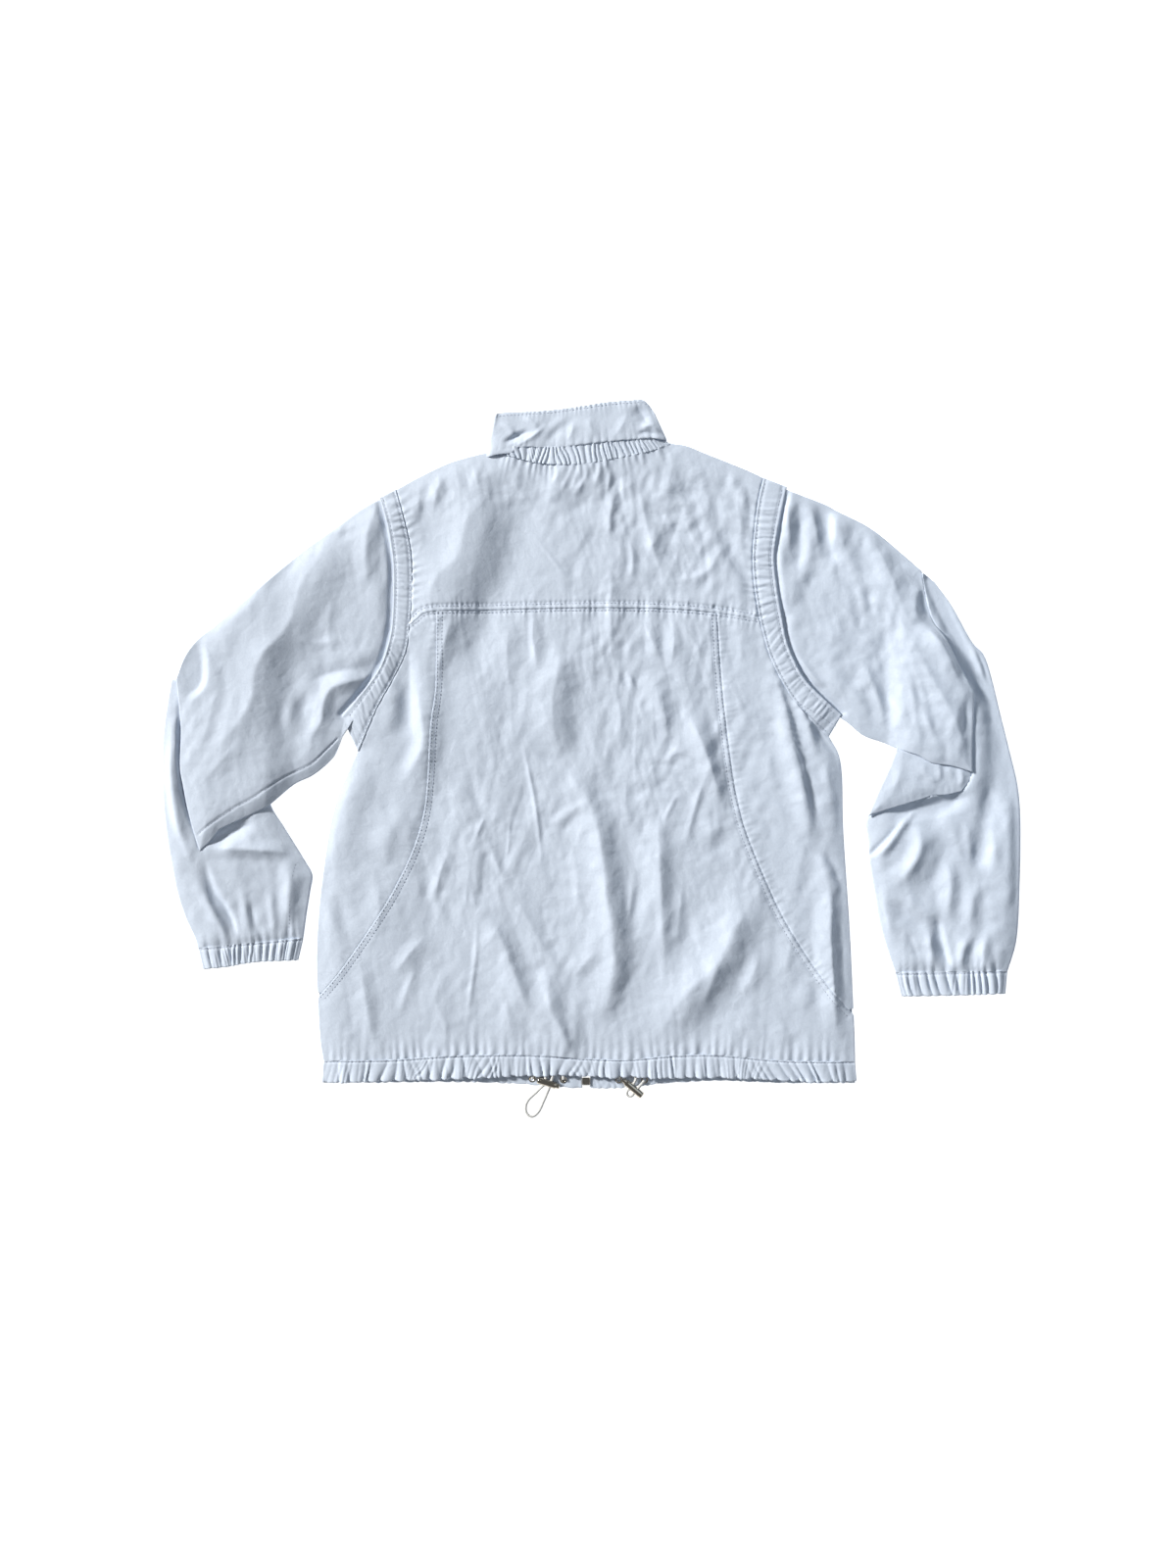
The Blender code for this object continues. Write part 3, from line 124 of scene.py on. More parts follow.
SIDE_EDGE = {
    "left": [(-237.5, -7), (-261.5, -67), (-274.5, -144), (-279.5, -209), (-278.5, -259)],
    "right": [(241, 8), (253.5, -21), (256, -90), (262.5, -190), (266.5, -276)],
}
SIDE_FOOT = {
    "left": [(-278.5, -259), (-276, -300), (-272.5, -323)],
    "right": [(266.5, -276), (267.5, -300), (268, -324)],
}
YOKE_SEAM = [(-185.5, 121), (-178.5, 127), (-163.5, 135), (-103.5, 137), (-3.5, 139),
             (76.5, 138), (126.5, 134), (171.5, 127)]
CURVED_SEAM = {
    "left": [(-157.5, 135.4), (-158.5, 59), (-163.5, 19), (-171.5, -75), (-200.5, -148), (-250, -224),
             (-278.5, -259)],
    "right": [(127.5, 133.9), (132.5, 59), (140.5, -10), (148, -56), (161.5, -102), (197.5, -182),
              (243.5, -251), (266.5, -276)],
}
NECK_SEAM = [(-95.5, 296), (-81.5, 293), (-53.5, 286), (-11.5, 285), (23.5, 291), (58.5, 298), (79.5, 305.5)]
NECKBAND_TOP = [(-93, 300), (-74.5, 303), (-39.5, 302), (-11.5, 304), (16.5, 307.4), (44.5, 310), (72, 311)]
HEM_SEAM = [(-272.5, -323), (-203.5, -322), (-143.5, -318), (-63.5, -317), (-3.5, -321), (36.5, -322),
            (80.5, -318), (126.5, -317), (196.5, -323), (268, -324)]
HEM_EDGE = [(-274, -344), (-203.5, -342), (-123.5, -339), (-43.5, -337), (-3.5, -338), (36.5, -338),
            (76.5, -339.5), (136.5, -339), (196.5, -342), (269.5, -343)]
FRONT_HEM_EDGE = [(-272.5, -345), (-203.5, -344.5), (-123.5, -344), (-60, -347), (-20, -350), (30, -350),
                  (80, -345), (136.5, -343), (196.5, -345), (268.5, -345)]
FRONT_NECK = [(-95.5, 296), (-80, 270), (-52, 251), (-12, 246), (30, 253), (62, 276), (79.5, 305.5)]
# A sleeve's stretches as four sides each: top and bottom run left to right, left and right down.
Stretch = namedtuple("Stretch", "top right bottom left")
UPPER_ARM = {
    "left": Stretch(
        top=[(-422.5, 66), (-413.5, 89), (-400.5, 106), (-383.5, 119), (-355.5, 143), (-323.5, 171),
             (-293.5, 196), (-262.5, 218), (-233.5, 239), (-213, 250)],
        right=[(-213, 250), (-200, 222), (-194, 189), (-193, 159), (-195, 119), (-202, 92), (-212, 73),
               (-230, 51), (-244, 37), (-252, 24)],
        bottom=[(-398.5, -108), (-388.5, -99), (-381.5, -90), (-377.5, -86), (-358.5, -77), (-343.5, -70),
                (-328.5, -62), (-303.5, -41), (-283.5, -31), (-266.5, -17), (-258, -4), (-252, 24)],
        left=[(-422.5, 66), (-419.5, 39), (-417.5, 14), (-418.5, -21), (-415.5, -41), (-409.5, -71),
              (-402.5, -96), (-398.5, -108)]),
    "right": Stretch(
        top=[(197, 259), (236.5, 244), (249.5, 237), (284.5, 219), (316.5, 193), (336, 176)],
        right=[(336, 176), (341, 148), (348, 124), (359.5, 108), (371.5, 84), (386, 57), (388.5, 48),
               (387.5, 19), (386.5, -11), (387, -28)],
        bottom=[(252, 28), (261.5, 21), (276.5, 9), (296.5, 2), (312.5, -5), (331.5, -11), (346.5, -19),
                (366.5, -22), (387, -28)],
        left=[(197, 259), (185, 239), (180, 214), (177, 189), (180, 159), (185, 129), (190, 104),
              (198, 84), (209, 66), (226, 48), (252, 28)]),
}
FOREARM = {
    "left": Stretch(
        top=[(-427.5, 65), (-398, 62), (-373, 47)],
        right=[(-373, 47), (-346, -1), (-331, -39), (-327.5, -63), (-313.5, -86), (-300.5, -107),
               (-292, -121), (-285.3, -134), (-287.5, -150), (-291.5, -175), (-294.6, -198)],
        bottom=[(-400.6, -208), (-347.1, -203), (-294.6, -198)],
        left=[(-427.5, 65), (-433.5, 29), (-436.5, -1), (-436.5, -31), (-435.5, -61), (-432.5, -91),
              (-427.5, -121), (-421.5, -151), (-413.5, -176), (-403.5, -198), (-400.6, -208)]),
    "right": Stretch(
        top=[(318, 171), (336, 174), (349.5, 165)],
        right=[(349.5, 165), (366.5, 141), (386.5, 105), (399, 91), (407, 68), (416.5, 29), (426.5, -11),
               (433.5, -41), (436.5, -71), (436.7, -111), (436, -141), (434.5, -181), (431.5, -206),
               (423.5, -232)],
        bottom=[(310.5, -233), (367, -232), (423.5, -232)],
        left=[(318, 171), (320, 134), (322, 88), (320, 52), (313, -1), (304.5, -26), (296.5, -43),
              (288.5, -61), (282, -72), (280.5, -83), (282.5, -96), (284.5, -121), (289.5, -151),
              (294.5, -181), (301.5, -206), (310.5, -233)]),
}
ELBOW_FLAP = Stretch(
    top=[(315, 12), (344, 18), (376, 2)],
    right=[(376, 2), (386, -22), (386, -32), (383.5, -39), (376.5, -48)],
    bottom=[(283, -72.5), (306.5, -65), (336.5, -56), (348, -52), (361.5, -51.5), (376.5, -48)],
    left=[(315, 12), (311, -6), (303.5, -26), (295.5, -43), (287.5, -61), (283, -72.5)])
CUFF = {
    "left": ([(-400.5, -208), (-347, -203), (-294.5, -198)],
             [(-395.5, -229), (-373.5, -227), (-343.5, -222), (-299.5, -220)]),
    "right": ([(310.5, -233), (367, -232), (423.5, -231)],
              [(316.5, -257), (367, -256), (421.5, -254)]),
}
# Stations round the collar: the points of its foot and of its top edge, the height of its foot, and how much
# higher its top edge is.
Station = namedtuple("Station", "lower upper z rise")
COLLAR = [
    Station((-16.6, 248), (-17.1, 291), 0.9, 2.1), Station((-34, 251.5), (-32, 292), 0.7, 1.0),
    Station((-54, 257), (-50, 298), 0.6, 0.0), Station((-80, 277), (-74, 314), 0.6, 0.0),
    Station((-97, 300), (-91, 330), 0.6, 0.0), Station((-105, 299.5), (-97.3, 333), 1.0, 0.0),
    Station((-107, 299.5), (-98.8, 334.5), 2.2, 0.0), Station((-105.4, 300.2), (-97, 336), 3.6, 0.0),
    Station((-98, 303), (-88, 337.5), 4.6, 0.0), Station((-83, 304.6), (-72, 338), 5.0, 0.0),
    Station((-62, 304.8), (-52, 339), 5.4, 0.0), Station((-40, 304.2), (-32, 341), 5.2, 0.0),
    Station((-12, 306.4), (-8, 344.4), 6.0, 0.0), Station((16, 309.8), (16, 348), 5.4, 0.0),
    Station((44, 312.2), (40, 350), 5.4, 0.0), Station((62, 313.2), (54, 349.4), 4.8, 0.0),
    Station((74.4, 310.8), (64, 337), 3.6, 0.0), Station((76.6, 309.5), (66.5, 331), 2.2, 0.0),
    Station((75, 308.5), (66, 329), 1.0, 0.0), Station((69, 306), (61, 326), 0.6, 0.0),
    Station((55, 281), (44, 314), 0.6, 0.0), Station((26, 259), (20, 298), 0.7, 0.5),
    Station((8, 254), (6, 293), 0.8, 1.6), Station((-7.2, 251), (-7.7, 291), 0.9, 2.1),
]

SLEEVE_SEAM = [(-400, -92), (-388, -82), (-363, -65), (-343, -54), (-318, -37), (-303, -29), (-285, -20),
               (-271, -7), (-259, 5)]
FORE_SEAM = [(-301.5, -121), (-305.5, -141), (-307.5, -166), (-308.5, -196)]

# ------------------------------------------------------------------ folds
# A fold is a kind, its strength, how far it reaches on each side of its path, and the path. The facets of a
# crest or a valley meet along the path, and a crease is a narrow line: their strength is a height in mm.
# A dark slope faces away from the light, and a bright one towards it: their strength is a steepness.
Fold = namedtuple("Fold", "kind strength width path")


def fold_maker(kind):
    return lambda strength, width, *path: Fold(kind, strength, width, path)


crest, valley, crease, dark, bright = map(fold_maker, ("crest", "valley", "crease", "dark", "bright"))

BODY_FOLDS = [
    # yoke: the long fold that falls from the neck to the left curved seam
    crest(2.5, (26, 42), (-112, 297), (-122, 254), (-130, 214), (-138, 189), (-158, 169), (-166, 141),
          (-172, 117), (-180, 85)),
    dark(0.16, 20, (-104, 283), (-96, 234), (-102, 187), (-126, 129), (-146, 54)),
    crest(2.2, (9, 32), (-180, 79), (-178, 47), (-172, 19), (-172, -1), (-182, -23), (-200, -53)),
    valley(1.7, (26, 8), (-186, 109), (-186, 69), (-184, 24), (-180, 3)),
    crest(1.0, (6, 9), (-140, 137), (-148, 109), (-154, 85), (-156, 55)),
    crest(1.3, (8, 9), (-152, 281), (-158, 254), (-164, 227)),
    crest(0.9, 7, (-172, 273), (-176, 249), (-176, 224)),
    dark(0.25, 5, (-172, 251), (-178, 233), (-180, 214)),
    # gathers fanning out under the neck band
    crest(0.6, (4, 6), (-62, 281), (-52, 273), (-42, 265)),
    crest(0.8, (3, 6), (-30, 287), (-34, 275), (-42, 262)),
    crest(0.9, (3, 6), (-18, 287), (-24, 271), (-34, 253)),
    crest(0.7, (3, 5), (-12, 287), (-16, 271), (-22, 257)),
    crest(1.0, (4, 6), (-2, 289), (-6, 271), (-20, 250)),
    crest(0.6, (3, 5), (10, 289), (6, 273), (2, 259)),
    crest(0.7, (3, 5), (20, 288), (18, 267), (14, 247)),
    crest(0.7, (4, 5), (30, 285), (32, 263), (34, 243)),
    dark(0.16, 9, (-16, 265), (-28, 255), (-38, 239)),
    dark(0.14, 8, (2, 261), (-14, 249), (-28, 237), (-36, 225)),
    # crisp folds towards the right shoulder
    crest(1.3, (10, 6), (44, 275), (50, 254), (56, 224), (64, 194), (76, 162)),
    dark(0.2, 3, (40, 269), (44, 244), (44, 217)),
    bright(0.2, 7, (52, 239), (60, 207), (70, 175)),
    crest(1.2, (7, 6), (26, 261), (20, 239), (18, 207)),
    dark(0.25, 3, (22, 233), (20, 211)),
    crest(1.0, 5, (36, 219), (42, 189), (38, 159)),
    crest(0.9, (5, 9), (72, 160), (86, 165), (102, 169), (118, 176), (130, 194), (136, 214)),
    dark(0.35, 3, (80, 157), (88, 143)),
    dark(0.14, 13, (88, 275), (90, 243)),
    crest(1.0, (10, 9), (90, 235), (102, 213), (116, 193)),
    dark(0.16, 8, (102, 233), (120, 225)),
    dark(0.35, 6, (120, 225), (136, 201), (148, 177), (164, 159)),
    dark(0.3, 4, (140, 155), (154, 146), (168, 139)),
    dark(0.22, 5, (142, 276), (154, 259), (166, 239)),
    bright(0.2, 5, (134, 275), (146, 255), (158, 233)),
    dark(0.25, 4, (154, 235), (158, 214)),
    crest(0.5, 3, (-58, 211), (-42, 191), (-24, 167)),
    crest(0.4, 4, (-84, 277), (-74, 259), (-56, 239)),
    # below the yoke
    crest(1.7, (9, 13), (18, 211), (20, 179), (20, 139), (20, 99), (22, 65)),
    crest(1.5, (10, 7), (52, 131), (60, 109), (70, 89)),
    crest(1.4, 9, (80, 131), (84, 107), (80, 71)),
    crest(1.9, (12, 15), (64, 71), (68, 47), (76, 23), (88, 11)),
    dark(0.3, 2.5, (40, 71), (46, 56)),
    bright(0.35, 3, (32, 73), (42, 57)),
    bright(0.2, 4, (34, 119), (36, 75)),
    crest(0.8, (4, 8), (-58, 139), (-60, 109), (-54, 69)),
    dark(0.16, 7, (-52, 109), (-48, 75)),
    crest(1.1, (12, 10), (-84, 127), (-86, 89), (-82, 47)),
    crest(1.0, 8, (92, 123), (106, 101), (118, 87)),
    crest(1.0, 9, (-4, 123), (2, 93), (0, 59)),
    dark(0.16, 6, (-70, 23), (-68, -3)),
    # the long fold down the middle of the back
    crest(2.7, (28, 22), (-32, 109), (-34, 74), (-40, 47), (-38, 14), (-30, -17)),
    crest(3.9, (26, 32), (-40, 9), (-32, -17), (-20, -35), (-4, -56), (6, -87), (12, -121), (16, -158),
          (22, -196), (22, -233), (16, -262), (4, -287), (-10, -307)),
    dark(0.15, 9, (-14, -26), (14, -79), (26, -141), (34, -201), (30, -251), (12, -287)),
    dark(0.2, 6, (-42, -88), (-22, -77), (-6, -61)),
    bright(0.2, 5, (-16, -67), (-2, -53)),
    crest(1.3, 10, (26, 55), (30, 19), (24, -13)),
    # the fold right of it
    crest(3.0, (22, 18), (64, -47), (68, -91), (70, -137), (72, -184), (74, -231), (66, -265)),
    dark(0.22, 5, (64, -13), (66, -33), (64, -53)),
    crest(0.9, 7, (72, -23), (86, -9), (104, -12)),
    dark(0.14, 8, (36, -41), (60, -47)),
    crest(0.7, (3, 4), (90, -47), (80, -65), (72, -83)),
    crest(0.7, 4, (114, -35), (104, -71), (94, -107)),
    crest(0.8, (6, 8), (94, -131), (90, -171), (86, -209)),
    crest(0.6, (4, 5), (42, -127), (40, -161), (38, -191)),
    # towards the right curved seam and the side
    crest(2.6, (22, 13), (96, 43), (104, 21), (114, -3), (124, -33), (132, -67)),
    dark(0.2, 6, (112, 29), (124, -11), (134, -49), (142, -77)),
    dark(0.2, 8, (112, -107), (126, -97), (138, -79)),
    crest(1.0, (7, 9), (140, 69), (152, 39), (164, 3)),
    crest(0.8, 8, (172, -1), (184, -31), (186, -61)),
    dark(0.2, 5, (174, -77), (184, -99)),
    crest(4.2, (15, 7), (182, 83), (192, 54), (200, 29), (208, -6), (218, -51), (226, -109)),
    valley(2.4, (7, 6), (194, 69), (202, 33), (212, -11), (226, -63), (234, -99)),
    crest(2.2, (8, 5), (202, 79), (212, 44), (224, 9), (234, -31)),
    crest(3.4, (14, 8), (226, -103), (238, -133), (244, -159), (244, -201), (248, -261), (252, -319)),
    dark(0.5, 4, (234, -109), (246, -129), (256, -155)),
    valley(3.4, (6, 5), (226, 23), (234, 9), (246, -5), (254, -23)),
    valley(2.4, (6, 5), (252, -47), (256, -71), (254, -97)),
    crest(1.4, 8, (234, -1), (242, -41), (248, -86)),
    dark(0.15, 9, (222, -241), (230, -271)),
    # lower right
    crest(3.3, (30, 34), (180, -131), (162, -161), (144, -191), (134, -215), (118, -235), (102, -249),
          (84, -271), (70, -295), (60, -319)),
    dark(0.12, 14, (172, -163), (150, -216), (118, -261), (90, -303)),
    crest(1.1, (7, 9), (134, -213), (124, -237), (112, -271)),
    crest(1.4, (10, 14), (172, -201), (166, -231), (148, -263)),
    crest(1.0, (12, 10), (208, -171), (202, -211), (196, -251)),
    dark(0.12, 6, (76, -81), (78, -141), (80, -206)),
    dark(0.10, 12, (-162, 113), (-156, 39), (-162, -31), (-180, -91)),
    dark(0.12, 8, (-22, 99), (-22, 59), (-22, 19), (-14, -16)),
    dark(0.14, 6, (-38, -249), (-30, -281), (-18, -317)),
    dark(0.10, 8, (-108, -171), (-88, -201), (-72, -236), (-56, -276)),
    # lower middle
    crest(2.6, (20, 15), (-36, -225), (-44, -249), (-40, -275), (-26, -299), (-20, -335)),
    crest(1.8, (14, 10), (6, -209), (-6, -223), (-20, -241)),
    crest(2.2, (24, 14), (-118, -159), (-96, -189), (-82, -225), (-66, -267), (-50, -299)),
    crest(0.9, (12, 8), (-92, -131), (-68, -174), (-46, -212), (-20, -249)),
    crest(1.3, 7, (-142, -103), (-154, -131), (-160, -165)),
    dark(0.25, 5, (-154, -155), (-146, -181)),
    dark(0.25, 4, (-112, -103), (-114, -136), (-118, -171)),
    crest(1.0, (5, 6), (-106, -93), (-98, -119), (-86, -145)),
    crest(1.0, 5, (-106, -71), (-114, -86), (-118, -101)),
    dark(0.15, 8, (-136, -29), (-124, -56), (-114, -83)),
    crest(0.8, 3, (-72, 11), (-64, -27), (-58, -58), (-52, -105), (-52, -133)),
    crest(0.7, 3, (-116, -167), (-118, -215), (-124, -261), (-128, -301)),
    crest(0.5, 3, (-82, -71), (-86, -121)),
    crest(0.9, 8, (-90, -249), (-84, -281), (-84, -313)),
    crest(0.8, 9, (-18, -101), (-14, -141), (-18, -181)),
    # lower left
    crest(1.6, (9, 16), (-166, -193), (-184, -212), (-204, -239)),
    crest(1.1, (6, 12), (-176, -223), (-188, -251), (-196, -279)),
    crest(1.4, (12, 9), (-240, -209), (-232, -246), (-226, -286), (-216, -321)),
    dark(0.18, 8, (-274, -155), (-262, -176), (-252, -199)),
    crest(1.8, (26, 20), (-192, -63), (-204, -91), (-212, -125)),
    crest(1.2, 14, (-152, -227), (-158, -261), (-142, -301)),
    crest(2.0, (14, 26), (-236, -9), (-252, -41), (-262, -87), (-268, -141)),
    dark(0.2, 9, (-192, 69), (-194, 37), (-204, 1)),
    crest(0.8, 8, (-222, -125), (-216, -171), (-224, -209)),
]
ARM_FOLDS = [
    # left
    crest(2.6, (24, 30), (-260, 223), (-276, 192), (-296, 161), (-306, 127), (-320, 106), (-334, 92),
          (-342, 73), (-344, 52), (-350, 35), (-364, 15), (-392, -19), (-412, -45)),
    crest(2.0, (12, 13), (-218, 243), (-228, 214), (-230, 181), (-228, 155)),
    bright(0.25, 5, (-212, 229), (-210, 194), (-210, 155)),
    dark(0.3, 5, (-266, 210), (-254, 217), (-244, 225)),
    dark(0.18, 8, (-254, 71), (-234, 81), (-208, 91)),
    valley(1.8, (18, 8), (-292, 59), (-276, 69), (-256, 74), (-230, 79)),
    crest(2.3, (9, 10), (-208, 79), (-236, 66), (-258, 60), (-268, 53), (-274, 36), (-276, 21), (-294, -5)),
    dark(0.22, 7, (-292, 59), (-300, 35), (-292, 9)),
    bright(0.2, 5, (-306, 47), (-312, 24), (-308, 3)),
    valley(3.4, (24, 7), (-404, 109), (-398, 83), (-400, 61), (-418, 45)),
    crest(0.9, (10, 12), (-398, -43), (-376, -17), (-352, 7)),
    crest(0.8, 9, (-304, 119), (-286, 103), (-252, 105)),
    crest(1.0, 14, (-334, 179), (-354, 149), (-370, 119)),
    crest(0.6, 6, (-388, 137), (-396, 109)),
    crest(0.7, 8, (-262, 159), (-268, 119), (-264, 91)),
    crest(0.8, 10, (-380, 59), (-390, 19), (-400, -11)),
    dark(0.10, 15, (-250, 199), (-266, 159), (-284, 119), (-304, 69)),
    # right
    crest(2.8, (7, 11), (198, 253), (200, 227), (202, 193)),
    crest(3.0, (10, 9), (222, 245), (228, 221), (232, 197)),
    crest(3.2, (9, 18), (242, 239), (248, 219), (244, 189)),
    dark(0.2, 9, (196, 237), (196, 197), (200, 155), (208, 123)),
    crest(1.5, 14, (208, 191), (206, 163), (202, 133)),
    dark(0.2, 8, (220, 193), (222, 173), (216, 155)),
    valley(3.0, (18, 10), (232, 253), (238, 229), (244, 203), (242, 175)),
    valley(2.4, (13, 9), (208, 251), (212, 223), (212, 193), (208, 163)),
    valley(2.2, (20, 12), (334, 181), (340, 167), (342, 149), (340, 125)),
    crest(1.8, 12, (276, 219), (294, 193), (308, 163), (316, 137)),
    valley(2.0, 10, (382, 53), (380, 23), (376, -5)),
    crest(1.8, (7, 6), (210, 91), (222, 73), (238, 56)),
    dark(0.35, 5, (256, 73), (268, 55), (278, 39)),
    crest(2.0, (9, 8), (272, 91), (286, 62), (296, 33), (298, 9)),
    crest(1.8, (14, 9), (326, 103), (342, 72), (358, 45), (372, 17), (382, -13)),
    crest(1.3, (8, 7), (330, 47), (340, 25), (348, 5)),
    crest(1.0, 8, (302, 59), (312, 35), (318, 13)),
    crest(1.2, 10, (244, 83), (252, 59), (264, 33)),
    crest(0.5, 4, (242, 153), (262, 133), (282, 115)),
    crest(0.5, 4, (262, 125), (280, 107), (300, 95)),
    crest(0.5, (4, 5), (302, 119), (310, 143), (322, 163)),
    crest(0.5, 5, (268, 175), (292, 159), (316, 131)),
    crest(0.6, 5, (226, 119), (256, 107), (292, 83)),
    crest(1.2, 20, (288, 199), (308, 149), (336, 109)),
    crest(3.4, (18, 12), (342, 171), (334, 155), (330, 139), (334, 119)),
    crest(3.2, (14, 6), (330, 122), (348, 111), (362, 91), (376, 57)),
    dark(0.25, 5, (380, 39), (380, 9), (378, -13)),
    dark(0.26, 12, (332, 163), (348, 135), (364, 107), (378, 77)),
    dark(0.09, 24, (292, 203), (316, 159), (332, 119), (346, 83)),
]
FOREARM_FOLDS = [
    # left
    crest(2.4, (13, 12), (-400, -106), (-360, -107), (-326, -109), (-298, -113)),
    crest(1.8, 14, (-300, -117), (-306, -133), (-308, -163), (-310, -191)),
    valley(3.2, (15, 4), (-396, -113), (-386, -146), (-372, -167), (-364, -185), (-360, -207)),
    crest(1.6, (12, 6), (-400, -131), (-390, -161), (-374, -191), (-370, -209)),
    crease(-1.3, 4, (-350, -159), (-342, -185), (-334, -205)),
    crest(1.2, 8, (-356, -141), (-352, -171), (-348, -203)),
    crest(1.0, 8, (-328, -141), (-324, -176), (-320, -203)),
    crest(1.6, 10, (-430, 43), (-428, 9), (-428, -31), (-422, -67), (-412, -103)),
    crest(2.6, (8, 15), (-432, 7), (-430, -41), (-422, -81), (-406, -125)),
    valley(4.4, (4, 12), (-420, 51), (-420, 11), (-418, -23), (-412, -60), (-398, -103)),
    valley(3.2, (12, 13), (-394, -105), (-372, -93), (-342, -77)),
    # right
    crest(1.6, (9, 5), (358, 155), (378, 119), (398, 83), (408, 59)),
    valley(2.6, (4, 5), (388, 103), (400, 79), (408, 53)),
    crest(2.0, (6, 8), (284, -121), (302, -104), (318, -79), (334, -63)),
    valley(3.2, 14, (288, -73), (326, -67), (366, -59), (396, -47)),
    crest(3.2, (16, 24), (332, -75), (334, -109), (320, -133), (306, -148)),
    dark(0.25, 7, (308, -153), (326, -171), (352, -187)),
    crest(2.2, (16, 12), (360, -111), (366, -141), (362, -186)),
    valley(3.0, (13, 4), (352, -171), (358, -203), (368, -233)),
    crease(-1.4, 4, (322, -191), (334, -221)),
    crest(1.5, (9, 8), (342, -189), (346, -211), (350, -231)),
    crest(1.4, (14, 12), (396, -137), (388, -163), (384, -191)),
    crest(1.6, (10, 8), (386, -193), (378, -213), (374, -235)),
    crest(1.5, 9, (404, -189), (400, -211), (402, -233)),
    crease(-1.3, 4, (392, -195), (388, -217), (388, -233)),
    dark(0.28, 5, (428, -47), (430, -101), (430, -171)),
    crest(1.1, 12, (406, -61), (410, -111), (404, -141)),
    crest(0.9, 9, (296, -141), (300, -171), (308, -203)),
    crest(0.9, 8, (376, -71), (386, -101), (384, -133)),
    dark(0.15, 16, (402, 75), (410, 29), (414, -31), (408, -77)),
    dark(0.16, 12, (300, -69), (336, -63), (382, -47)),
]
# gaps beside the upper arm, as paths, depths and widths
ELBOW_GAPS = [
    ([(346, 167), (358, 137), (372, 111), (386, 83), (396, 55)], 5.0, 7.0),
    ([(400, 57), (406, 24), (408, -31), (404, -76), (396, -113)], 4.4, 11.0),
    ([(334, -58), (316, -79), (300, -97), (284, -113)], 2.2, 1.8),
]
FLAP_FOLDS = [
    crest(1.0, 6, (334, -21), (342, -33), (356, -41)),
    crest(1.0, (6, 5), (346, -13), (354, -25), (354, -41)),
    dark(0.3, 4, (360, -19), (368, -29), (364, -41)),
    crest(0.8, 9, (316, -16), (312, -36), (302, -56)),
    crest(1.0, 5, (372, -23), (378, -35), (374, -45)),
]
COLLAR_FOLDS = [
    valley(1.7, 5, (-92, 306), (-82, 310), (-72, 315), (-60, 319)),
    crest(0.8, (4, 5), (-80, 302), (-68, 308), (-56, 316), (-44, 327)),
    crest(0.8, (5, 6), (-94, 329), (-82, 319), (-76, 311)),
    crest(0.8, 5, (-72, 335), (-60, 327), (-52, 318)),
    dark(0.24, 4, (-48, 307), (-40, 317), (-30, 326), (-20, 332)),
    crest(0.6, (6, 8), (-26, 306), (-20, 317), (-18, 330)),
    crest(0.6, (8, 9), (2, 307), (0, 321), (-6, 333)),
    crest(0.5, (8, 7), (18, 309), (30, 322), (38, 341)),
    valley(1.7, (15, 9), (44, 346), (52, 335), (58, 323)),
    valley(1.2, (4, 5), (44, 314), (56, 317), (70, 313)),
    crest(1.0, 4, (50, 321), (60, 324), (72, 316)),
]

# ------------------------------------------------------------------ lines
def curve(points, step=2.0):
    """An even, smooth line through points, about a step apart, as an array."""
    spots = np.array(points, float)
    if len(spots) == 2:
        count = max(int(np.linalg.norm(spots[1] - spots[0]) / step), 2)
        return spots[0] + (spots[1] - spots[0]) * np.linspace(0, 1, count + 1)[:, None]
    padded = np.vstack([2 * spots[0] - spots[1], spots, 2 * spots[-1] - spots[-2]])
    t = np.arange(0, 1, 1 / 12)[:, None]
    dense = []
    for before, start, end, after in zip(padded, padded[1:], padded[2:], padded[3:]):
        square = 2 * before - 5 * start + 4 * end - after
        cube = 3 * start - before - 3 * end + after
        dense.append(0.5 * (2 * start + (end - before) * t + square * t ** 2 + cube * t ** 3))
    dense = np.vstack(dense + [spots[-1:]])
    reach = lengths(dense)
    return at(dense, np.linspace(0, 1, max(int(reach[-1] / step), 2) + 1))


def lengths(line):
    """How far along a line each of its points is."""
    return np.concatenate([[0.0], np.cumsum(np.linalg.norm(np.diff(line, axis=0), axis=1))])


def at(line, shares):
    """The points at these shares of a line's length."""
    reach = lengths(line)
    return np.stack([np.interp(np.asarray(shares) * reach[-1], reach, line[:, axis])
                     for axis in range(line.shape[1])], 1)


def normals(line):
    """Unit vectors to the left of a line, in the plane."""
    run = np.gradient(line[:, :2], axis=0)
    run /= np.maximum(np.linalg.norm(run, axis=1), 1e-9)[:, None]
    return np.stack([-run[:, 1], run[:, 0]], 1)


def beside(line, distance):
    """A line shifted to its left."""
    return line[:, :2] + normals(line) * distance


def spread(length, fine, coarse, reach=14.0):
    """Shares along a length, closer together near both ends."""
    here, spots = 0.0, [0.0]
    while here < length:
        here += fine + (coarse - fine) * ease(min(here, length - here) / reach)
        spots.append(here)
    return np.array(spots) / spots[-1]


def ease(share):
    """A soft step from 0 to 1."""
    share = np.clip(share, 0.0, 1.0)
    return share * share * (3 - 2 * share)


# ------------------------------------------------------------------ height maps
# A map is a grid of heights over the whole garment.
CELL = 0.8
WEST, EAST, SOUTH, NORTH = -446.0, 446.0, -352.0, 356.0
GX = np.arange(WEST, EAST, CELL)
GY = np.arange(SOUTH, NORTH, CELL)
LIGHT_SIDE = np.array((-0.72, 0.69))
# slopes and creases no wider than this are weakened
SMALL_FOLD, SMALL_SHARE = 6, 0.65


def flat_map(value=0.0):
    """A map of one height."""
    return np.full((len(GY), len(GX)), value)


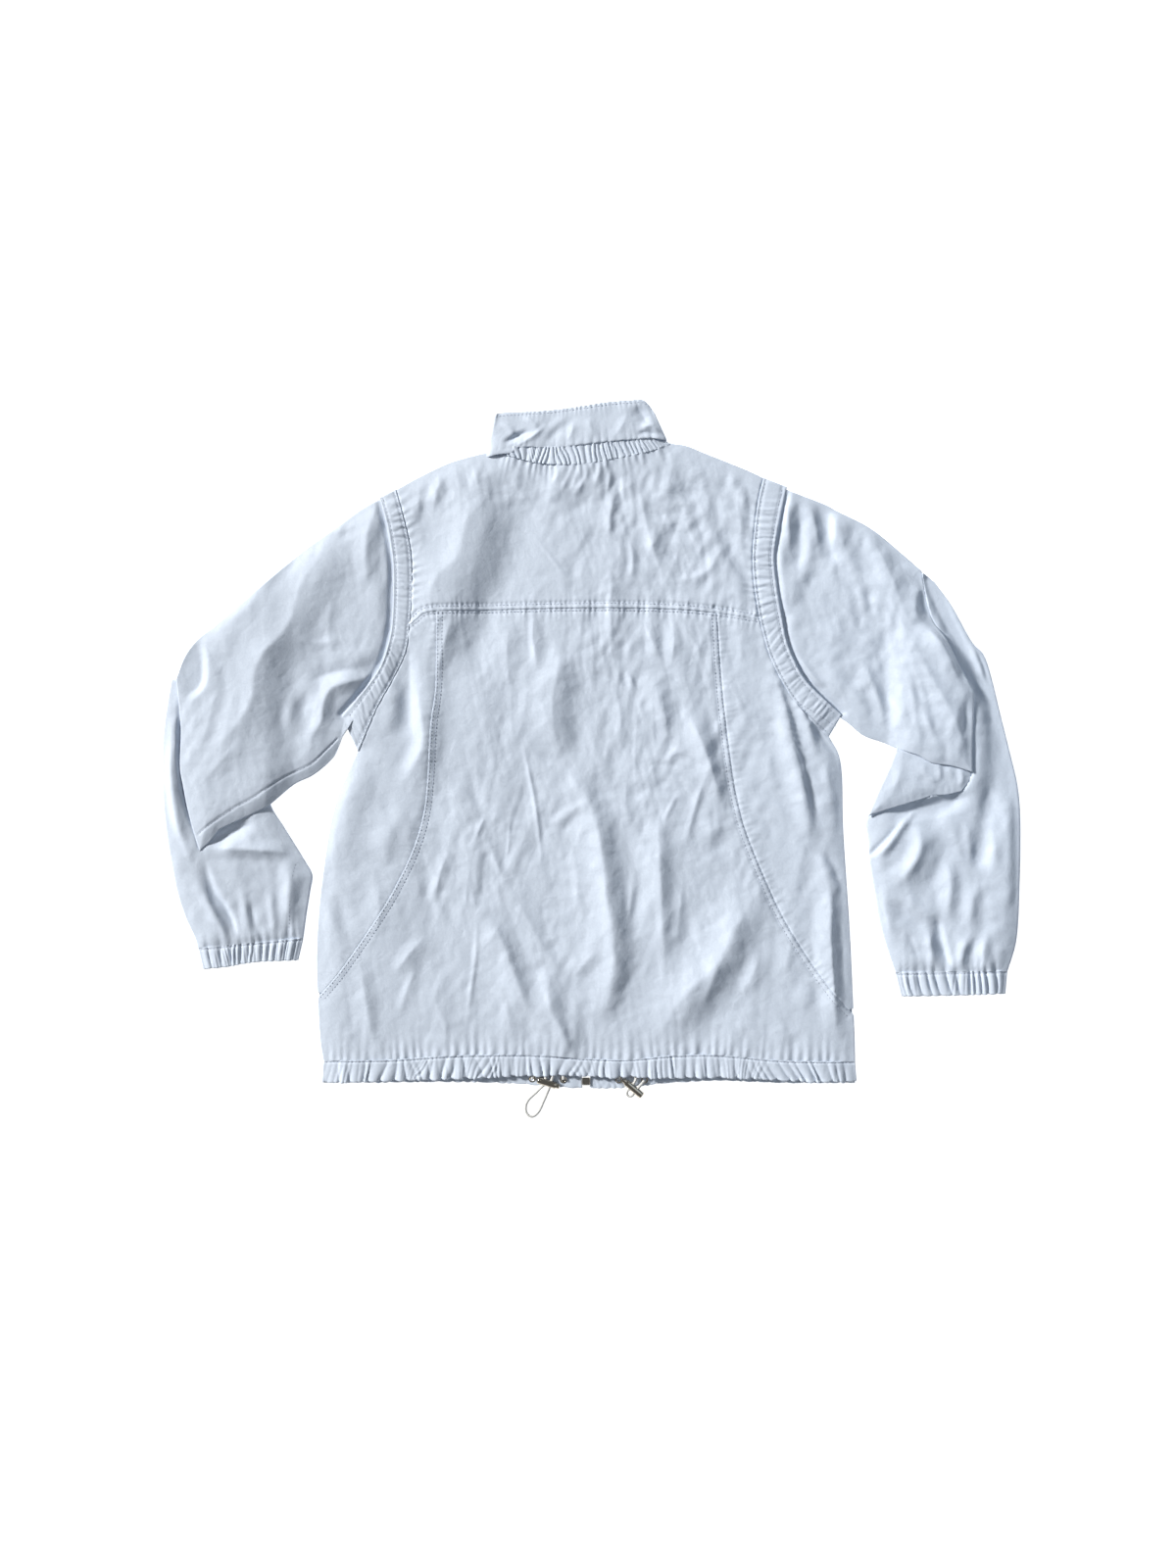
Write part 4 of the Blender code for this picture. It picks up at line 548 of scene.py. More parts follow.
def trace(path, reach):
    """The cells near a path, their distance from it, positive on its left, and how far along it."""
    low = np.clip(((path.min(0) - reach - (WEST, SOUTH)) / CELL).astype(int), 0, None)
    high = ((path.max(0) + reach - (WEST, SOUTH)) / CELL).astype(int) + 2
    rows, cols = slice(low[1], max(high[1], 0)), slice(low[0], max(high[0], 0))
    x, y = np.meshgrid(GX[cols], GY[rows])
    best, side, along = np.full(x.shape, 1e12), np.ones(x.shape), np.zeros(x.shape)
    passed = 0.0
    for start, end in zip(path[:-1], path[1:]):
        run = end - start
        size = np.hypot(*run)
        px, py = x - start[0], y - start[1]
        t = np.clip((px * run[0] + py * run[1]) / size ** 2, 0, 1)
        gap = (px - t * run[0]) ** 2 + (py - t * run[1]) ** 2
        near = gap < best
        best = np.where(near, gap, best)
        side = np.where(near, run[0] * py - run[1] * px, side)
        along = np.where(near, passed + t * size, along)
        passed += size
    return (rows, cols), np.sqrt(best) * np.where(side < 0, -1, 1), along, passed


def press(field, folds, scale=1.0, broad=1.0):
    """Adds the folds of a table to a height map; broad widens the facets of the long ones."""
    for fold in folds:
        path = curve(fold.path, 4.0)
        chord = path[-1] - path[0]
        flip = 1 if -chord[1] * LIGHT_SIDE[0] + chord[0] * LIGHT_SIDE[1] >= 0 else -1
        wide = fold.width if isinstance(fold.width, tuple) else (fold.width, fold.width)
        facet = fold.kind in ("crest", "valley")
        slope = fold.kind in ("dark", "bright")
        way = -1 if fold.kind in ("valley", "bright") else 1
        strength = fold.strength
        if facet and broad != 1.0:
            long = lengths(path)[-1] - 25
            wide = tuple(w * (1 + (broad - 1) * ease(long / 60)) for w in wide)
            strength *= 0.82 + 0.30 * ease(long / 70)
        elif not facet and max(wide) <= SMALL_FOLD:
            strength *= SMALL_SHARE
        window, gap, along, total = trace(path, max(wide) * (1.05 if facet else 3.2))
        gap = gap * flip
        t = gap / np.where(gap > 0, wide[0], wide[1])
        ends = 0.38 * total if facet else min(0.45 * total, 3 * max(wide))
        taper = ease(along / ends) * ease((total - along) / ends)
        if facet:
            shape = way * (1 - np.clip(np.sqrt(t * t + 0.002), 0, 1)) ** 1.45
            shape = shape * (1 + 0.3 * ease((max(wide) - 14) / 20))
        elif slope:
            shape = way * gap * np.exp(-t * t / 2)
        else:
            shape = np.exp(-(np.sqrt(t * t + 0.03) - 0.17) * 1.4)
        field[window] += scale * strength * shape * taper


def loft(free_edges, low, full, reach):
    """Height of flat cloth: low along its free edges, rising to its full height inside them."""
    field = flat_map(full)
    for edge in free_edges:
        window, gap, _, _ = trace(curve(edge, 4.0), reach + 2)
        t = np.clip(np.abs(gap) / reach, 0, 1)
        rise = low + (full - low) * (1 - (1 - t) ** 2.4)
        field[window] = np.minimum(field[window], rise)
    return field


def pucker(field, path, pitch, height, reach, seed, side=0, lean=0.0, offset=0.0):
    """Short uneven ripples square to a seam, fading out away from it."""
    path = curve(path, 3.0)
    window, gap, along, total = trace(path, 3 * reach + offset)
    chance = np.random.RandomState(seed)
    steps = pitch * (0.55 + 0.9 * chance.rand(int(total / pitch * 2.2) + 8))
    knots = np.concatenate([[-3 * pitch], -3 * pitch + np.cumsum(steps)])
    sizes = 0.25 + 1.1 * chance.rand(len(knots))
    place = along + lean * gap
    wave = np.cos(2 * pi * np.interp(place, knots, np.arange(len(knots))))
    wave *= np.interp(place, knots, sizes)
    away = np.maximum(np.abs(gap) - offset, 0) / reach
    fade = np.exp(-away ** 1.3 * 1.2)
    if side:
        fade = fade * (gap * side > 0)
    field[window] += height * wave * fade


def groove(field, path, depth, width=0.9):
    """A narrow hollow along a seam."""
    window, gap, _, _ = trace(curve(path, 3.0), 4 * width)
    field[window] -= depth * np.exp(-(gap / width) ** 2)


def ticks(field, path, away, pitch, depth, half=1.7):
    """The small regular dimples that a row of stitches draws in, square to the row."""
    window, gap, along, _ = trace(curve(path, 3.0), abs(away) + 4 * half)
    wave = 0.5 + 0.5 * np.cos(2 * pi * along / pitch)
    field[window] -= depth * (0.25 + 0.75 * wave) * np.exp(-(np.abs(gap - away) / half) ** 2.5)


def mottle(seed, along_x, along_y, turn=0.0):
    """Smooth even noise with these wavelengths, about one high."""
    chance = np.random.RandomState(seed)
    noise = np.fft.rfft2(chance.randn(len(GY), len(GX)))
    fx = np.fft.rfftfreq(len(GX), CELL)[None, :]
    fy = np.fft.fftfreq(len(GY), CELL)[:, None]
    c, s = cos(turn), sin(turn)
    u, v = (fx * c + fy * s) * along_x, (-fx * s + fy * c) * along_y
    band = np.exp(-2.2 * (u * u + v * v)) * np.minimum((u * u + v * v) * 4, 1)
    field = np.fft.irfft2(noise * band, (len(GY), len(GX)))
    return field / field.std()


def crisp(seed, wave, turns, warp, patch):
    """Straight sharp wrinkles in a few directions, which bend, start and end, as of pressed thin cloth."""
    chance = np.random.RandomState(seed)
    field = flat_map()
    for number, turn in enumerate(turns):
        across = GX[None, :] * cos(turn) + GY[:, None] * sin(turn)
        across = across + warp * mottle(seed + number, 60, 110)
        share = (across / (wave * (0.8 + 0.4 * chance.rand())) + chance.rand()) % 1
        shown = ease(0.35 + 0.75 * mottle(seed + 40 + number, patch, 1.6 * patch))
        field += (2 * np.abs(2 * share - 1) - 1) * shown
    return field


def sample(field, x, y):
    """A height map's value at points."""
    u = np.clip((np.asarray(x) - WEST) / CELL, 0, len(GX) - 1.001)
    v = np.clip((np.asarray(y) - SOUTH) / CELL, 0, len(GY) - 1.001)
    i, j = u.astype(int), v.astype(int)
    a, b = u - i, v - j
    return (field[j, i] * (1 - a) * (1 - b) + field[j, i + 1] * a * (1 - b)
            + field[j + 1, i] * (1 - a) * b + field[j + 1, i + 1] * a * b)


def pleats(place, pitch, seed, spare=0.4):
    """Round-topped gathers with sharp valleys and uneven widths, from 0 to 1."""
    chance = np.random.RandomState(seed)
    total = float(np.max(place)) + 4 * pitch
    steps = pitch * (1 - spare + 2 * spare * chance.rand(int(total / pitch * 2) + 10))
    knots = np.concatenate([[-2 * pitch], -2 * pitch + np.cumsum(steps)])
    sizes = 0.45 + 0.75 * chance.rand(len(knots))
    count = np.interp(place, knots, np.arange(len(knots)))
    return np.abs(np.sin(pi * count)) ** 0.75 * np.interp(place, knots, sizes)


def mottle_line(seed, place, wave):
    """Noise along a line, about one high, with its knots a wave apart."""
    chance = np.random.RandomState(seed)
    low = float(np.min(place)) - wave
    knots = np.arange(low, float(np.max(place)) + 2 * wave, wave)
    return np.interp(place, knots, chance.randn(len(knots)))


def gathers(along, across, pitch, seed, lean=2.0, spare=0.5):
    """Uneven gathers across a band, which lean, bend and fork a little; across runs from 0 to 1."""
    along, across = np.broadcast_arrays(along, across)
    tilt = mottle_line(seed + 1, along, 3 * pitch) * lean
    bend = mottle_line(seed + 2, along + 5 * across, 2.3 * pitch) * 0.8 * np.sin(pi * np.clip(across, 0, 1))
    main = pleats(along + tilt * (across - 0.5) + bend, pitch, seed, spare)
    small = pleats(along - 1.2 * tilt * across + 3, pitch * 0.6, seed + 3, spare)
    share = np.clip(0.5 + 0.5 * mottle_line(seed + 4, along + 9 * across, 2.0 * pitch), 0, 1)
    return main * (0.6 + 0.4 * share) + 0.45 * small * (1 - share) - 0.5


def patches(table):
    """How strongly small wrinkles show, from ellipses of more or less wrinkled cloth."""
    field = flat_map(0.75)
    for x, y, wide, high, gain in table:
        field += gain * np.exp(-((GX[None, :] - x) / wide) ** 2 - ((GY[:, None] - y) / high) ** 2)
    return np.clip(field, 0.15, 2.4)


# x, y, reach in x and y, and how much more wrinkled than the rest
WRINKLED = patches([
    (-125, 200, 45, 60, -0.5), (85, 215, 70, 60, 0.9), (40, 95, 60, 60, 0.7), (-175, 20, 60, 90, -0.35),
    (-20, -60, 60, 50, 0.3), (-110, -110, 60, 70, 0.4), (90, -20, 50, 60, 0.5), (-60, 175, 40, 40, -0.2),
    (190, 60, 40, 120, 0.4), (-200, -220, 70, 70, -0.3), (150, -260, 80, 50, -0.2),
    (275, 150, 60, 60, 0.6), (330, 50, 50, 60, 0.9), (-300, 130, 70, 60, -0.5), (-330, 0, 60, 60, -0.4),
    (-240, 80, 40, 40, 0.3), (-120, 260, 60, 26, 0.7), (0, 262, 80, 22, 0.8)])
LARGE = 0.50 * crisp(11, 46, (0.1, -0.35, 0.6), 9, 50)
MIDDLE = 0.26 * crisp(21, 25, (-0.1, 0.45, -0.7, 1.2), 7, 30)
SMALL = 0.115 * crisp(31, 12, (0.3, -0.5, 1.0, 1.9), 4, 20)
CRUMPLE = WRINKLED * (LARGE + MIDDLE + SMALL) + 0.40 * mottle(14, 60, 150)

# the body
BODY_EDGE, BODY_FULL, BODY_REACH = 2.3, 5.7, 30.0
BODY_FREE = [*SHOULDER.values(), *(SIDE_EDGE[side] + SIDE_FOOT[side][1:] for side in SIDES)]
body = loft(BODY_FREE, BODY_EDGE, BODY_FULL, BODY_REACH)
folded = flat_map()
press(folded, BODY_FOLDS, 1.45, 1.45)
folded += CRUMPLE
# pitch, height, reach, seed, side, lean and offset of the ripples that each seam draws in
for line, *ripples in (
        (YOKE_SEAM, 6.5, 0.30, 7, 21, 0, 0.0, 4), (CURVED_SEAM["left"], 8, 0.16, 6, 22, 0, 0.2, 3),
        (CURVED_SEAM["right"], 6.5, 0.22, 7, 23, 0, 0.1, 3), (NECK_SEAM, 6.5, 0.75, 12, 24, -1, 0.0, 0),
        (HEM_SEAM, 9.0, 0.85, 15, 25, 1, 0.0, 0),
        (ARMHOLE_UPPER["left"], 9, 0.6, 8, 26, 0, 0.3, 0),
        (ARMHOLE_UPPER["right"], 8, 0.7, 8, 27, 0, -0.3, 0),
        (ARMHOLE_LOWER["left"], 12, 0.3, 7, 28, 0, 0.0, 0),
        (ARMHOLE_LOWER["right"], 12, 0.3, 7, 29, 0, 0.0, 0)):
    pucker(folded, line, *ripples)
body += folded * loft(BODY_FREE, 0.1, 1.0, 26.0)
# how far each topstitched row is from its seam, and the pitch and depth of its dimples
for line, away, pitch, depth in (
        (YOKE_SEAM, 5.0, 5.0, 1.0), (YOKE_SEAM, -3.0, 5.0, 0.6),
        (CURVED_SEAM["left"], 1.2, 5.0, 0.34), (CURVED_SEAM["left"], 5.4, 5.0, 0.34),
        (CURVED_SEAM["right"], -1.4, 4.8, 0.5), (CURVED_SEAM["right"], -5.6, 4.8, 0.75)):
    ticks(body, line, away, pitch, depth, 1.9)
groove(body, CURVED_SEAM["right"], 0.8, 0.9)
groove(body, CURVED_SEAM["left"], 0.25, 0.8)
for side in SIDES:
    groove(body, ARMHOLE_UPPER[side], 1.2, 1.2)
    groove(body, ARMHOLE_LOWER[side], 0.6, 1.0)
# the zip's head under the neck lifts the back
BULGE, BULGE_REACH = 2.3, 48.0
bulge = flat_map()
window, gap, _, _ = trace(np.array([(-12.0, 280.0), (-12.0, 279.0)]), BULGE_REACH)
bulge[window] = BULGE * np.cos(np.clip(np.abs(gap) / BULGE_REACH, 0, 1) * pi / 2) ** 2
body += bulge

# sleeves, each layer with its own map
CUFF_PITCH, CUFF_SEED = 8.2, {"left": 81, "right": 91}
SLEEVE_EDGE, ARM_FULL, FORE_FULL = 2.2, 6.0, 5.8
LEFT_ARM, RIGHT_ARM = UPPER_ARM["left"], UPPER_ARM["right"]
arm = loft([LEFT_ARM.top, RIGHT_ARM.top, LEFT_ARM.left, LEFT_ARM.bottom[:-1], RIGHT_ARM.right,
            RIGHT_ARM.bottom, *STRIP_EDGE.values()], SLEEVE_EDGE, ARM_FULL, 30.0)
arm_calm = loft([LEFT_ARM.top, RIGHT_ARM.top, LEFT_ARM.left, RIGHT_ARM.right, LEFT_ARM.bottom,
                 RIGHT_ARM.bottom], 0.2, 1.0, 11.0)
folded = CRUMPLE * 1.1
press(folded, ARM_FOLDS, 1.4, 1.25)
arm += folded * arm_calm
for side, sign in SIDES.items():
    window, gap, _, _ = trace(beside(curve(STRIP_EDGE[side]), sign * 2.6), 7)
    arm[window] -= 2.2 * np.exp(-(gap / 2.3) ** 2)
groove(arm, SLEEVE_SEAM, 0.9, 0.9)
fore_edges = [FOREARM["left"].left, FOREARM["left"].right[3:],
              FOREARM["right"].right, FOREARM["right"].left[4:]]
fore = loft(fore_edges, SLEEVE_EDGE, FORE_FULL, 26.0)
folded = CRUMPLE * 1.1
press(folded, FOREARM_FOLDS, 1.9)
fore += folded * loft(fore_edges, 0.15, 1.0, 18.0)
groove(fore, FORE_SEAM, 0.8, 0.9)
for path, depth, wide in ELBOW_GAPS:
    groove(fore, path, depth, wide)
# the cuffs draw the sleeve in, and their gathers run up into it
for side, seed in CUFF_SEED.items():
    window, gap, along, total = trace(curve(CUFF[side][0], 3.0), 46)
    away, ends = np.abs(gap), ease(np.minimum(along, total - along) / 9)
    reach = 10 + 9 * np.abs(mottle_line(seed + 9, along, 13))
    wave = gathers(along, 0 * along, CUFF_PITCH, seed, 2.2, 0.6)
    fore[window] -= (1.7 * np.exp(-(away / 5.0) ** 1.5) - 2.4 * wave * np.exp(-(away / reach) ** 1.2)) * ends
FLAP_FREE = [ELBOW_FLAP.left, ELBOW_FLAP.bottom, ELBOW_FLAP.right]
flap = loft(FLAP_FREE, 1.8, 3.6, 16.0)
folded = CRUMPLE * 0.8
press(folded, FLAP_FOLDS, 1.3)
pucker(folded, ELBOW_FLAP.bottom, 9, 0.4, 8, 43)
flap += folded * loft(FLAP_FREE, 0.15, 1.0, 12.0)
collar_folds = CRUMPLE * 0.6
press(collar_folds, COLLAR_FOLDS, 2.0)


def inside(ring):
    """The cells inside a closed line."""
    within = np.zeros((len(GY), len(GX)), bool)
    ring = np.asarray(ring)
    for (x0, y0), (x1, y1) in zip(ring, np.roll(ring, -1, 0)):
        if y0 == y1:
            continue
        rows = slice(*np.searchsorted(GY, sorted((y0, y1))))
        cross = x0 + (GY[rows] - y0) / (y1 - y0) * (x1 - x0)
        within[rows] ^= GX[None, :] < cross[:, None]
    return within


def outline(stretch):
    """The closed line round a stretch."""
    return np.vstack([curve(stretch.top), curve(stretch.right)[1:], curve(stretch.bottom)[::-1][1:],
                      curve(stretch.left)[::-1][1:]])


def arm_lift(side, x, y):
    """Height of the upper arm's underside, where it lies over the forearm."""
    if side == "left":
        return 5.1 * ease((-300 - x) / 34) + 1.2 * ease((x + 236) / 20)
    elbow = 1.2 * ease((x - 300) / 18) * ease((186 - y) / 12)
    below = 7.2 * ease((x - 296) / 34) * ease((140 - y) / 48)
    return elbow + below + 1.2 * ease((222 - x) / 20) * ease((y - 20) / 20)


# the height of the flap's underside at the right elbow
FLAP_LIFT = 5.0


def floored(field, low):
    """A height map whose troughs level out softly above a height."""
    return low + np.log1p(np.exp(np.clip((field - low) * 1.6, -30, 30))) / 1.6


# Each map has its troughs levelled out, and a layer under another stays below it.
body, arm, fore, flap = floored(body, 1.3), floored(arm, 1.5), floored(fore, 1.2), floored(flap, 1.4)
for side in SIDES:
    under = np.maximum(arm_lift(side, *np.meshgrid(GX, GY)) - 0.25, 0.55)
    within = inside(outline(UPPER_ARM[side]))
    fore = np.where(within, np.minimum(fore, under), fore)
    if side == "right":
        fore = np.where(inside(outline(ELBOW_FLAP)), np.minimum(fore, FLAP_LIFT - 0.2), fore)
        flap = np.where(within, np.minimum(flap, np.maximum(under - FLAP_LIFT, 0.5)), flap)


# ------------------------------------------------------------------ materials
def noded(name, **values):
    """A material, its nodes and links, and its shader with values set by socket name."""
    material = bpy.data.materials.new(name)
    material.use_nodes = True
    nodes, links = material.node_tree.nodes, material.node_tree.links
    shader = nodes["Principled BSDF"]
    for key, value in values.items():
        shader.inputs[key.replace("_", " ")].default_value = value
    return material, nodes, links, shader


def put(nodes, kind, **values):
    """A node with its properties and inputs set."""
    node = nodes.new(kind)
    for key, value in values.items():
        if hasattr(node, key):
            setattr(node, key, value)
        else:
            node.inputs[key.replace("_", " ")].default_value = value
    return node


def blend(nodes, links, share, low, high, kind="MIX"):
    """The output of a node that blends two colours, each an RGB value or a socket."""
    node = put(nodes, "ShaderNodeMix", data_type="RGBA", blend_type=kind)
    for index, value in ((0, share), (6, low), (7, high)):
        if isinstance(value, bpy.types.NodeSocket):
            links.new(value, node.inputs[index])
        else:
            node.inputs[index].default_value = value
    return node.outputs[2]


def tint(colour, share):
    """A colour made lighter or darker."""
    return tuple(min(c * share, 1) for c in colour) + (1,)


def ranged(nodes, links, source, low, high, **values):
    """The output of a node that spreads a texture between two values."""
    node = put(nodes, "ShaderNodeMapRange", To_Min=low, To_Max=high, **values)
    links.new(source.outputs["Fac"], node.inputs["Value"])
    return node.outputs["Result"]


def bumped(nodes, links, shader, *layers):
    """Bumps one on another, each from a height socket, a strength and a depth in metres."""
    normal = None
    for height, strength, depth in layers:
        node = put(nodes, "ShaderNodeBump", Strength=strength, Distance=depth)
        links.new(height, node.inputs["Height"])
        if normal is not None:
            links.new(normal, node.inputs["Normal"])
        normal = node.outputs["Normal"]
    links.new(normal, shader.inputs["Normal"])


def cloth_material(name, colour, rough=0.62, sheen=0.16, crinkle=0.5, weave=0.55):
    """Fine plain weave with thread slubs, small crinkles, and a little unevenness of colour."""
    material, nodes, links, shader = noded(name, Sheen_Weight=sheen, Sheen_Roughness=0.42,
                                           Sheen_Tint=(0.93, 0.96, 1.0, 1), Specular_IOR_Level=0.34)
    place = put(nodes, "ShaderNodeTexCoord")
    warp, weft = [put(nodes, "ShaderNodeTexWave", wave_type="BANDS", bands_direction=way, Scale=560.0,
                      Distortion=0.6, Detail=1.0, Detail_Scale=1.2) for way in "XY"]
    slub = put(nodes, "ShaderNodeTexNoise", Scale=900.0, Detail=2.0)
    cloud = put(nodes, "ShaderNodeTexNoise", Scale=26.0, Detail=4.0, Roughness=0.6)
    grain = put(nodes, "ShaderNodeTexNoise", Scale=420.0, Detail=3.0)
    wrinkle = put(nodes, "ShaderNodeTexNoise", Scale=95.0, Detail=5.0, Roughness=0.55, Distortion=0.7)
    fine = put(nodes, "ShaderNodeTexNoise", Scale=260.0, Detail=3.0, Distortion=0.4)
    for texture in (warp, weft, slub, cloud, grain, wrinkle, fine):
        links.new(place.outputs["Object"], texture.inputs["Vector"])
    thread = put(nodes, "ShaderNodeMix", data_type="FLOAT", blend_type="MIX")
    for texture, index in ((slub, 0), (warp, 2), (weft, 3)):
        links.new(texture.outputs["Fac"], thread.inputs[index])
    tone = blend(nodes, links, cloud.outputs["Fac"], tint(colour, 0.965), tint(colour, 1.03))
    dust = ranged(nodes, links, grain, 0.965, 1.02, From_Min=0.3, From_Max=0.7)
    links.new(blend(nodes, links, 1.0, tone, dust, "MULTIPLY"), shader.inputs["Base Color"])
    links.new(ranged(nodes, links, cloud, rough - 0.07, rough + 0.08), shader.inputs["Roughness"])
    bumped(nodes, links, shader, (wrinkle.outputs["Fac"], crinkle, 0.0009),
           (fine.outputs["Fac"], crinkle, 0.00022), (thread.outputs[0], weave, 0.00004))
    return material


def thread_material(name, colour, scale=1500.0):
    """Twisted yarn: slanting bands of shade and height."""
    material, nodes, links, shader = noded(name, Roughness=0.7, Sheen_Weight=0.2)
    place = put(nodes, "ShaderNodeTexCoord")
    twist = put(nodes, "ShaderNodeTexWave", wave_type="BANDS", bands_direction="DIAGONAL", Scale=scale,
                Distortion=0.5)
    links.new(place.outputs["Object"], twist.inputs["Vector"])
    shade = blend(nodes, links, twist.outputs["Fac"], tint(colour, 0.86), tint(colour, 1.0))
    links.new(shade, shader.inputs["Base Color"])
    bumped(nodes, links, shader, (twist.outputs["Fac"], 0.6, 0.0001))
    return material


def metal_material(name, colour, rough=0.16, wear=0.12):
    """Plated metal: faint rolling marks, fingerprints, and dulled patches."""
    material, nodes, links, shader = noded(name, Metallic=1.0)
    place = put(nodes, "ShaderNodeTexCoord")
    smear = put(nodes, "ShaderNodeTexNoise", Scale=230.0, Detail=4.0, Roughness=0.6)
    scratch = put(nodes, "ShaderNodeTexNoise", Scale=1400.0, Detail=2.0)
    for texture in (smear, scratch):
        links.new(place.outputs["Object"], texture.inputs["Vector"])
    shade = blend(nodes, links, smear.outputs["Fac"], tint(colour, 0.82), tint(colour, 1.0))
    links.new(shade, shader.inputs["Base Color"])
    links.new(ranged(nodes, links, smear, rough, rough + wear), shader.inputs["Roughness"])
    bumped(nodes, links, shader, (scratch.outputs["Fac"], 0.15, 0.00004))
    return material


SHELL = (0.585, 0.655, 0.765)
CLOTH = cloth_material("crisp_shell_cloth", SHELL)
TAPE = cloth_material("woven_zip_tape", (0.50, 0.57, 0.68), rough=0.78, sheen=0.2, crinkle=0.12, weave=1.0)
# The thread is darker than the cloth partly by its own colour and partly as painted shade, standing for the
# shadow in the stitch pits along each row.
THREAD = thread_material("sewing_thread_with_painted_pit_shade", (0.40, 0.455, 0.56))
CORD = thread_material("braided_elastic", (0.64, 0.64, 0.63), 700.0)
CHROME = metal_material("bright_plating", (0.56, 0.51, 0.43), 0.12, 0.08)
NICKEL = metal_material("zip_nickel", (0.52, 0.49, 0.43), 0.18)


# ------------------------------------------------------------------ meshes
def piece(name, verts, faces, material, replaced=(), body="root", smooth=True):
    """A named mesh in metres from points in millimetres, riding on a body."""
    mesh = bpy.data.meshes.new(name)
    faces = faces if isinstance(faces, list) else faces.tolist()
    mesh.from_pydata((np.asarray(verts) * MM).tolist(), [], faces)
    mesh.materials.append(material)
    mesh.validate()
    if smooth:
        mesh.shade_smooth()
    thing = bpy.data.objects.new(name, mesh)
    bpy.context.scene.collection.objects.link(thing)
    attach(thing, body)
    if replaced:
        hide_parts(*replaced)
    return thing


def quads(rows, cols, around=False):
    """Faces of a grid of points, row by row; around closes each row on itself."""
    r = np.arange(rows - 1)[:, None]
    c = np.arange(cols if around else cols - 1)[None, :]
    nxt = (c + 1) % cols
    a, b = r * cols + c, r * cols + nxt
    return np.stack([a, a + cols, b + cols, b], -1).reshape(-1, 4)


def cloth_grid(name, grid, nodes):
    """A piece of the shell's cloth from a grid of points."""
    piece(name, grid.reshape(-1, 3), quads(*grid.shape[:2]), CLOTH, nodes)


def coons(stretch, us, vs):
    """Points inside four edge lines, rows from top to bottom."""
    top, bottom = at(curve(stretch.top), us), at(curve(stretch.bottom), us)
    left, right = at(curve(stretch.left), vs), at(curve(stretch.right), vs)
    u, v = us[None, :, None], vs[:, None, None]
    corners = (top[0] * (1 - u) * (1 - v) + top[-1] * u * (1 - v) + bottom[0] * (1 - u) * v
               + bottom[-1] * u * v)
    return top[None] * (1 - v) + bottom[None] * v + left[:, None] * (1 - u) + right[:, None] * u - corners


# the line of a turned edge: how far out and how far up each point is, in radii
ROLL = ((0.55, -0.2), (0.95, -0.75), (1.0, -1.3), (0.6, -2.0), (-3.0, -2.1))
SEAM_RADIUS, FREE_RADIUS = 0.42, 0.95


def rolled(points, heights, row_sizes, col_sizes):
    """A grid with its four edges turned down and under; sizes are radii along top, bottom, left, right."""
    grid = np.concatenate([points, heights[..., None]], -1)

    def edge(line, inner, size):
        left = normals(line)
        inward = inner[:, :2] - line[:, :2]
        left *= np.where((left * inward).sum(1) > 0, -1, 1)[:, None]
        turned = []
        for out, drop in ROLL:
            down = np.maximum(line[:, 2] + drop * size, 0.25)
            turned.append(np.concatenate([line[:, :2] + left * (out * size)[:, None], down[:, None]], 1))
        return turned

    top_rows = edge(grid[0], grid[1], row_sizes[0])[::-1]
    bottom_rows = edge(grid[-1], grid[-2], row_sizes[1])
    grid = np.concatenate([np.array(top_rows), grid, np.array(bottom_rows)], 0)
    low, high = [np.pad(size, len(ROLL), "edge") for size in col_sizes]
    left_cols = edge(grid[:, 0], grid[:, 1], low)[::-1]
    right_cols = edge(grid[:, -1], grid[:, -2], high)
    return np.concatenate([np.stack(left_cols, 1), grid, np.stack(right_cols, 1)], 1)


def span(stretch):
    """The lengths of the longer of a stretch's top and bottom, and of its two sides."""
    top, right, bottom, left = (lengths(curve(line))[-1] for line in stretch)
    return max(top, bottom), max(left, right)


def panel(name, stretch, field, nodes, edges=("seam",) * 4, lift=(0, 0, 0, 0), fine=0.9, coarse=1.4):
    """A panel of the back. Its edges, top, right, bottom and left, are seams, free, or a share of the side
    at which a seam becomes a free edge; lift raises the folded allowance along an edge."""
    width, height = span(stretch)
    us, vs = spread(width, fine, coarse), spread(height, fine, coarse)
    points = coons(stretch, us, vs)
    heights = sample(field, points[..., 0], points[..., 1])
    u, v = us[None, :], vs[:, None]
    for rise, away in zip(lift, (v * height, (1 - u) * width, (1 - v) * height, u * width)):
        heights = heights + rise * np.exp(-away / 7.0)

    def sizes(edge, count, shares):
        if edge == "seam":
            return np.full(count, SEAM_RADIUS)
        if edge == "free":
            return np.full(count, FREE_RADIUS)
        return np.where(shares < edge, SEAM_RADIUS, FREE_RADIUS)

    top, right, bottom, left = edges
    grid = rolled(points, heights, (sizes(top, len(us), us), sizes(bottom, len(us), us)),
                  (sizes(left, len(vs), vs), sizes(right, len(vs), vs)))
    cloth_grid(name, grid, nodes)


def between(line, low, high):
    """The stretch of a line between two values of x."""
    dense = curve(line, 1.0)
    inside = dense[(dense[:, 0] > low + 0.5) & (dense[:, 0] < high - 0.5)]
    ends = [np.array([[x, np.interp(x, dense[:, 0], dense[:, 1])]]) for x in (low, high)]
    return np.vstack([ends[0], inside, ends[1]])


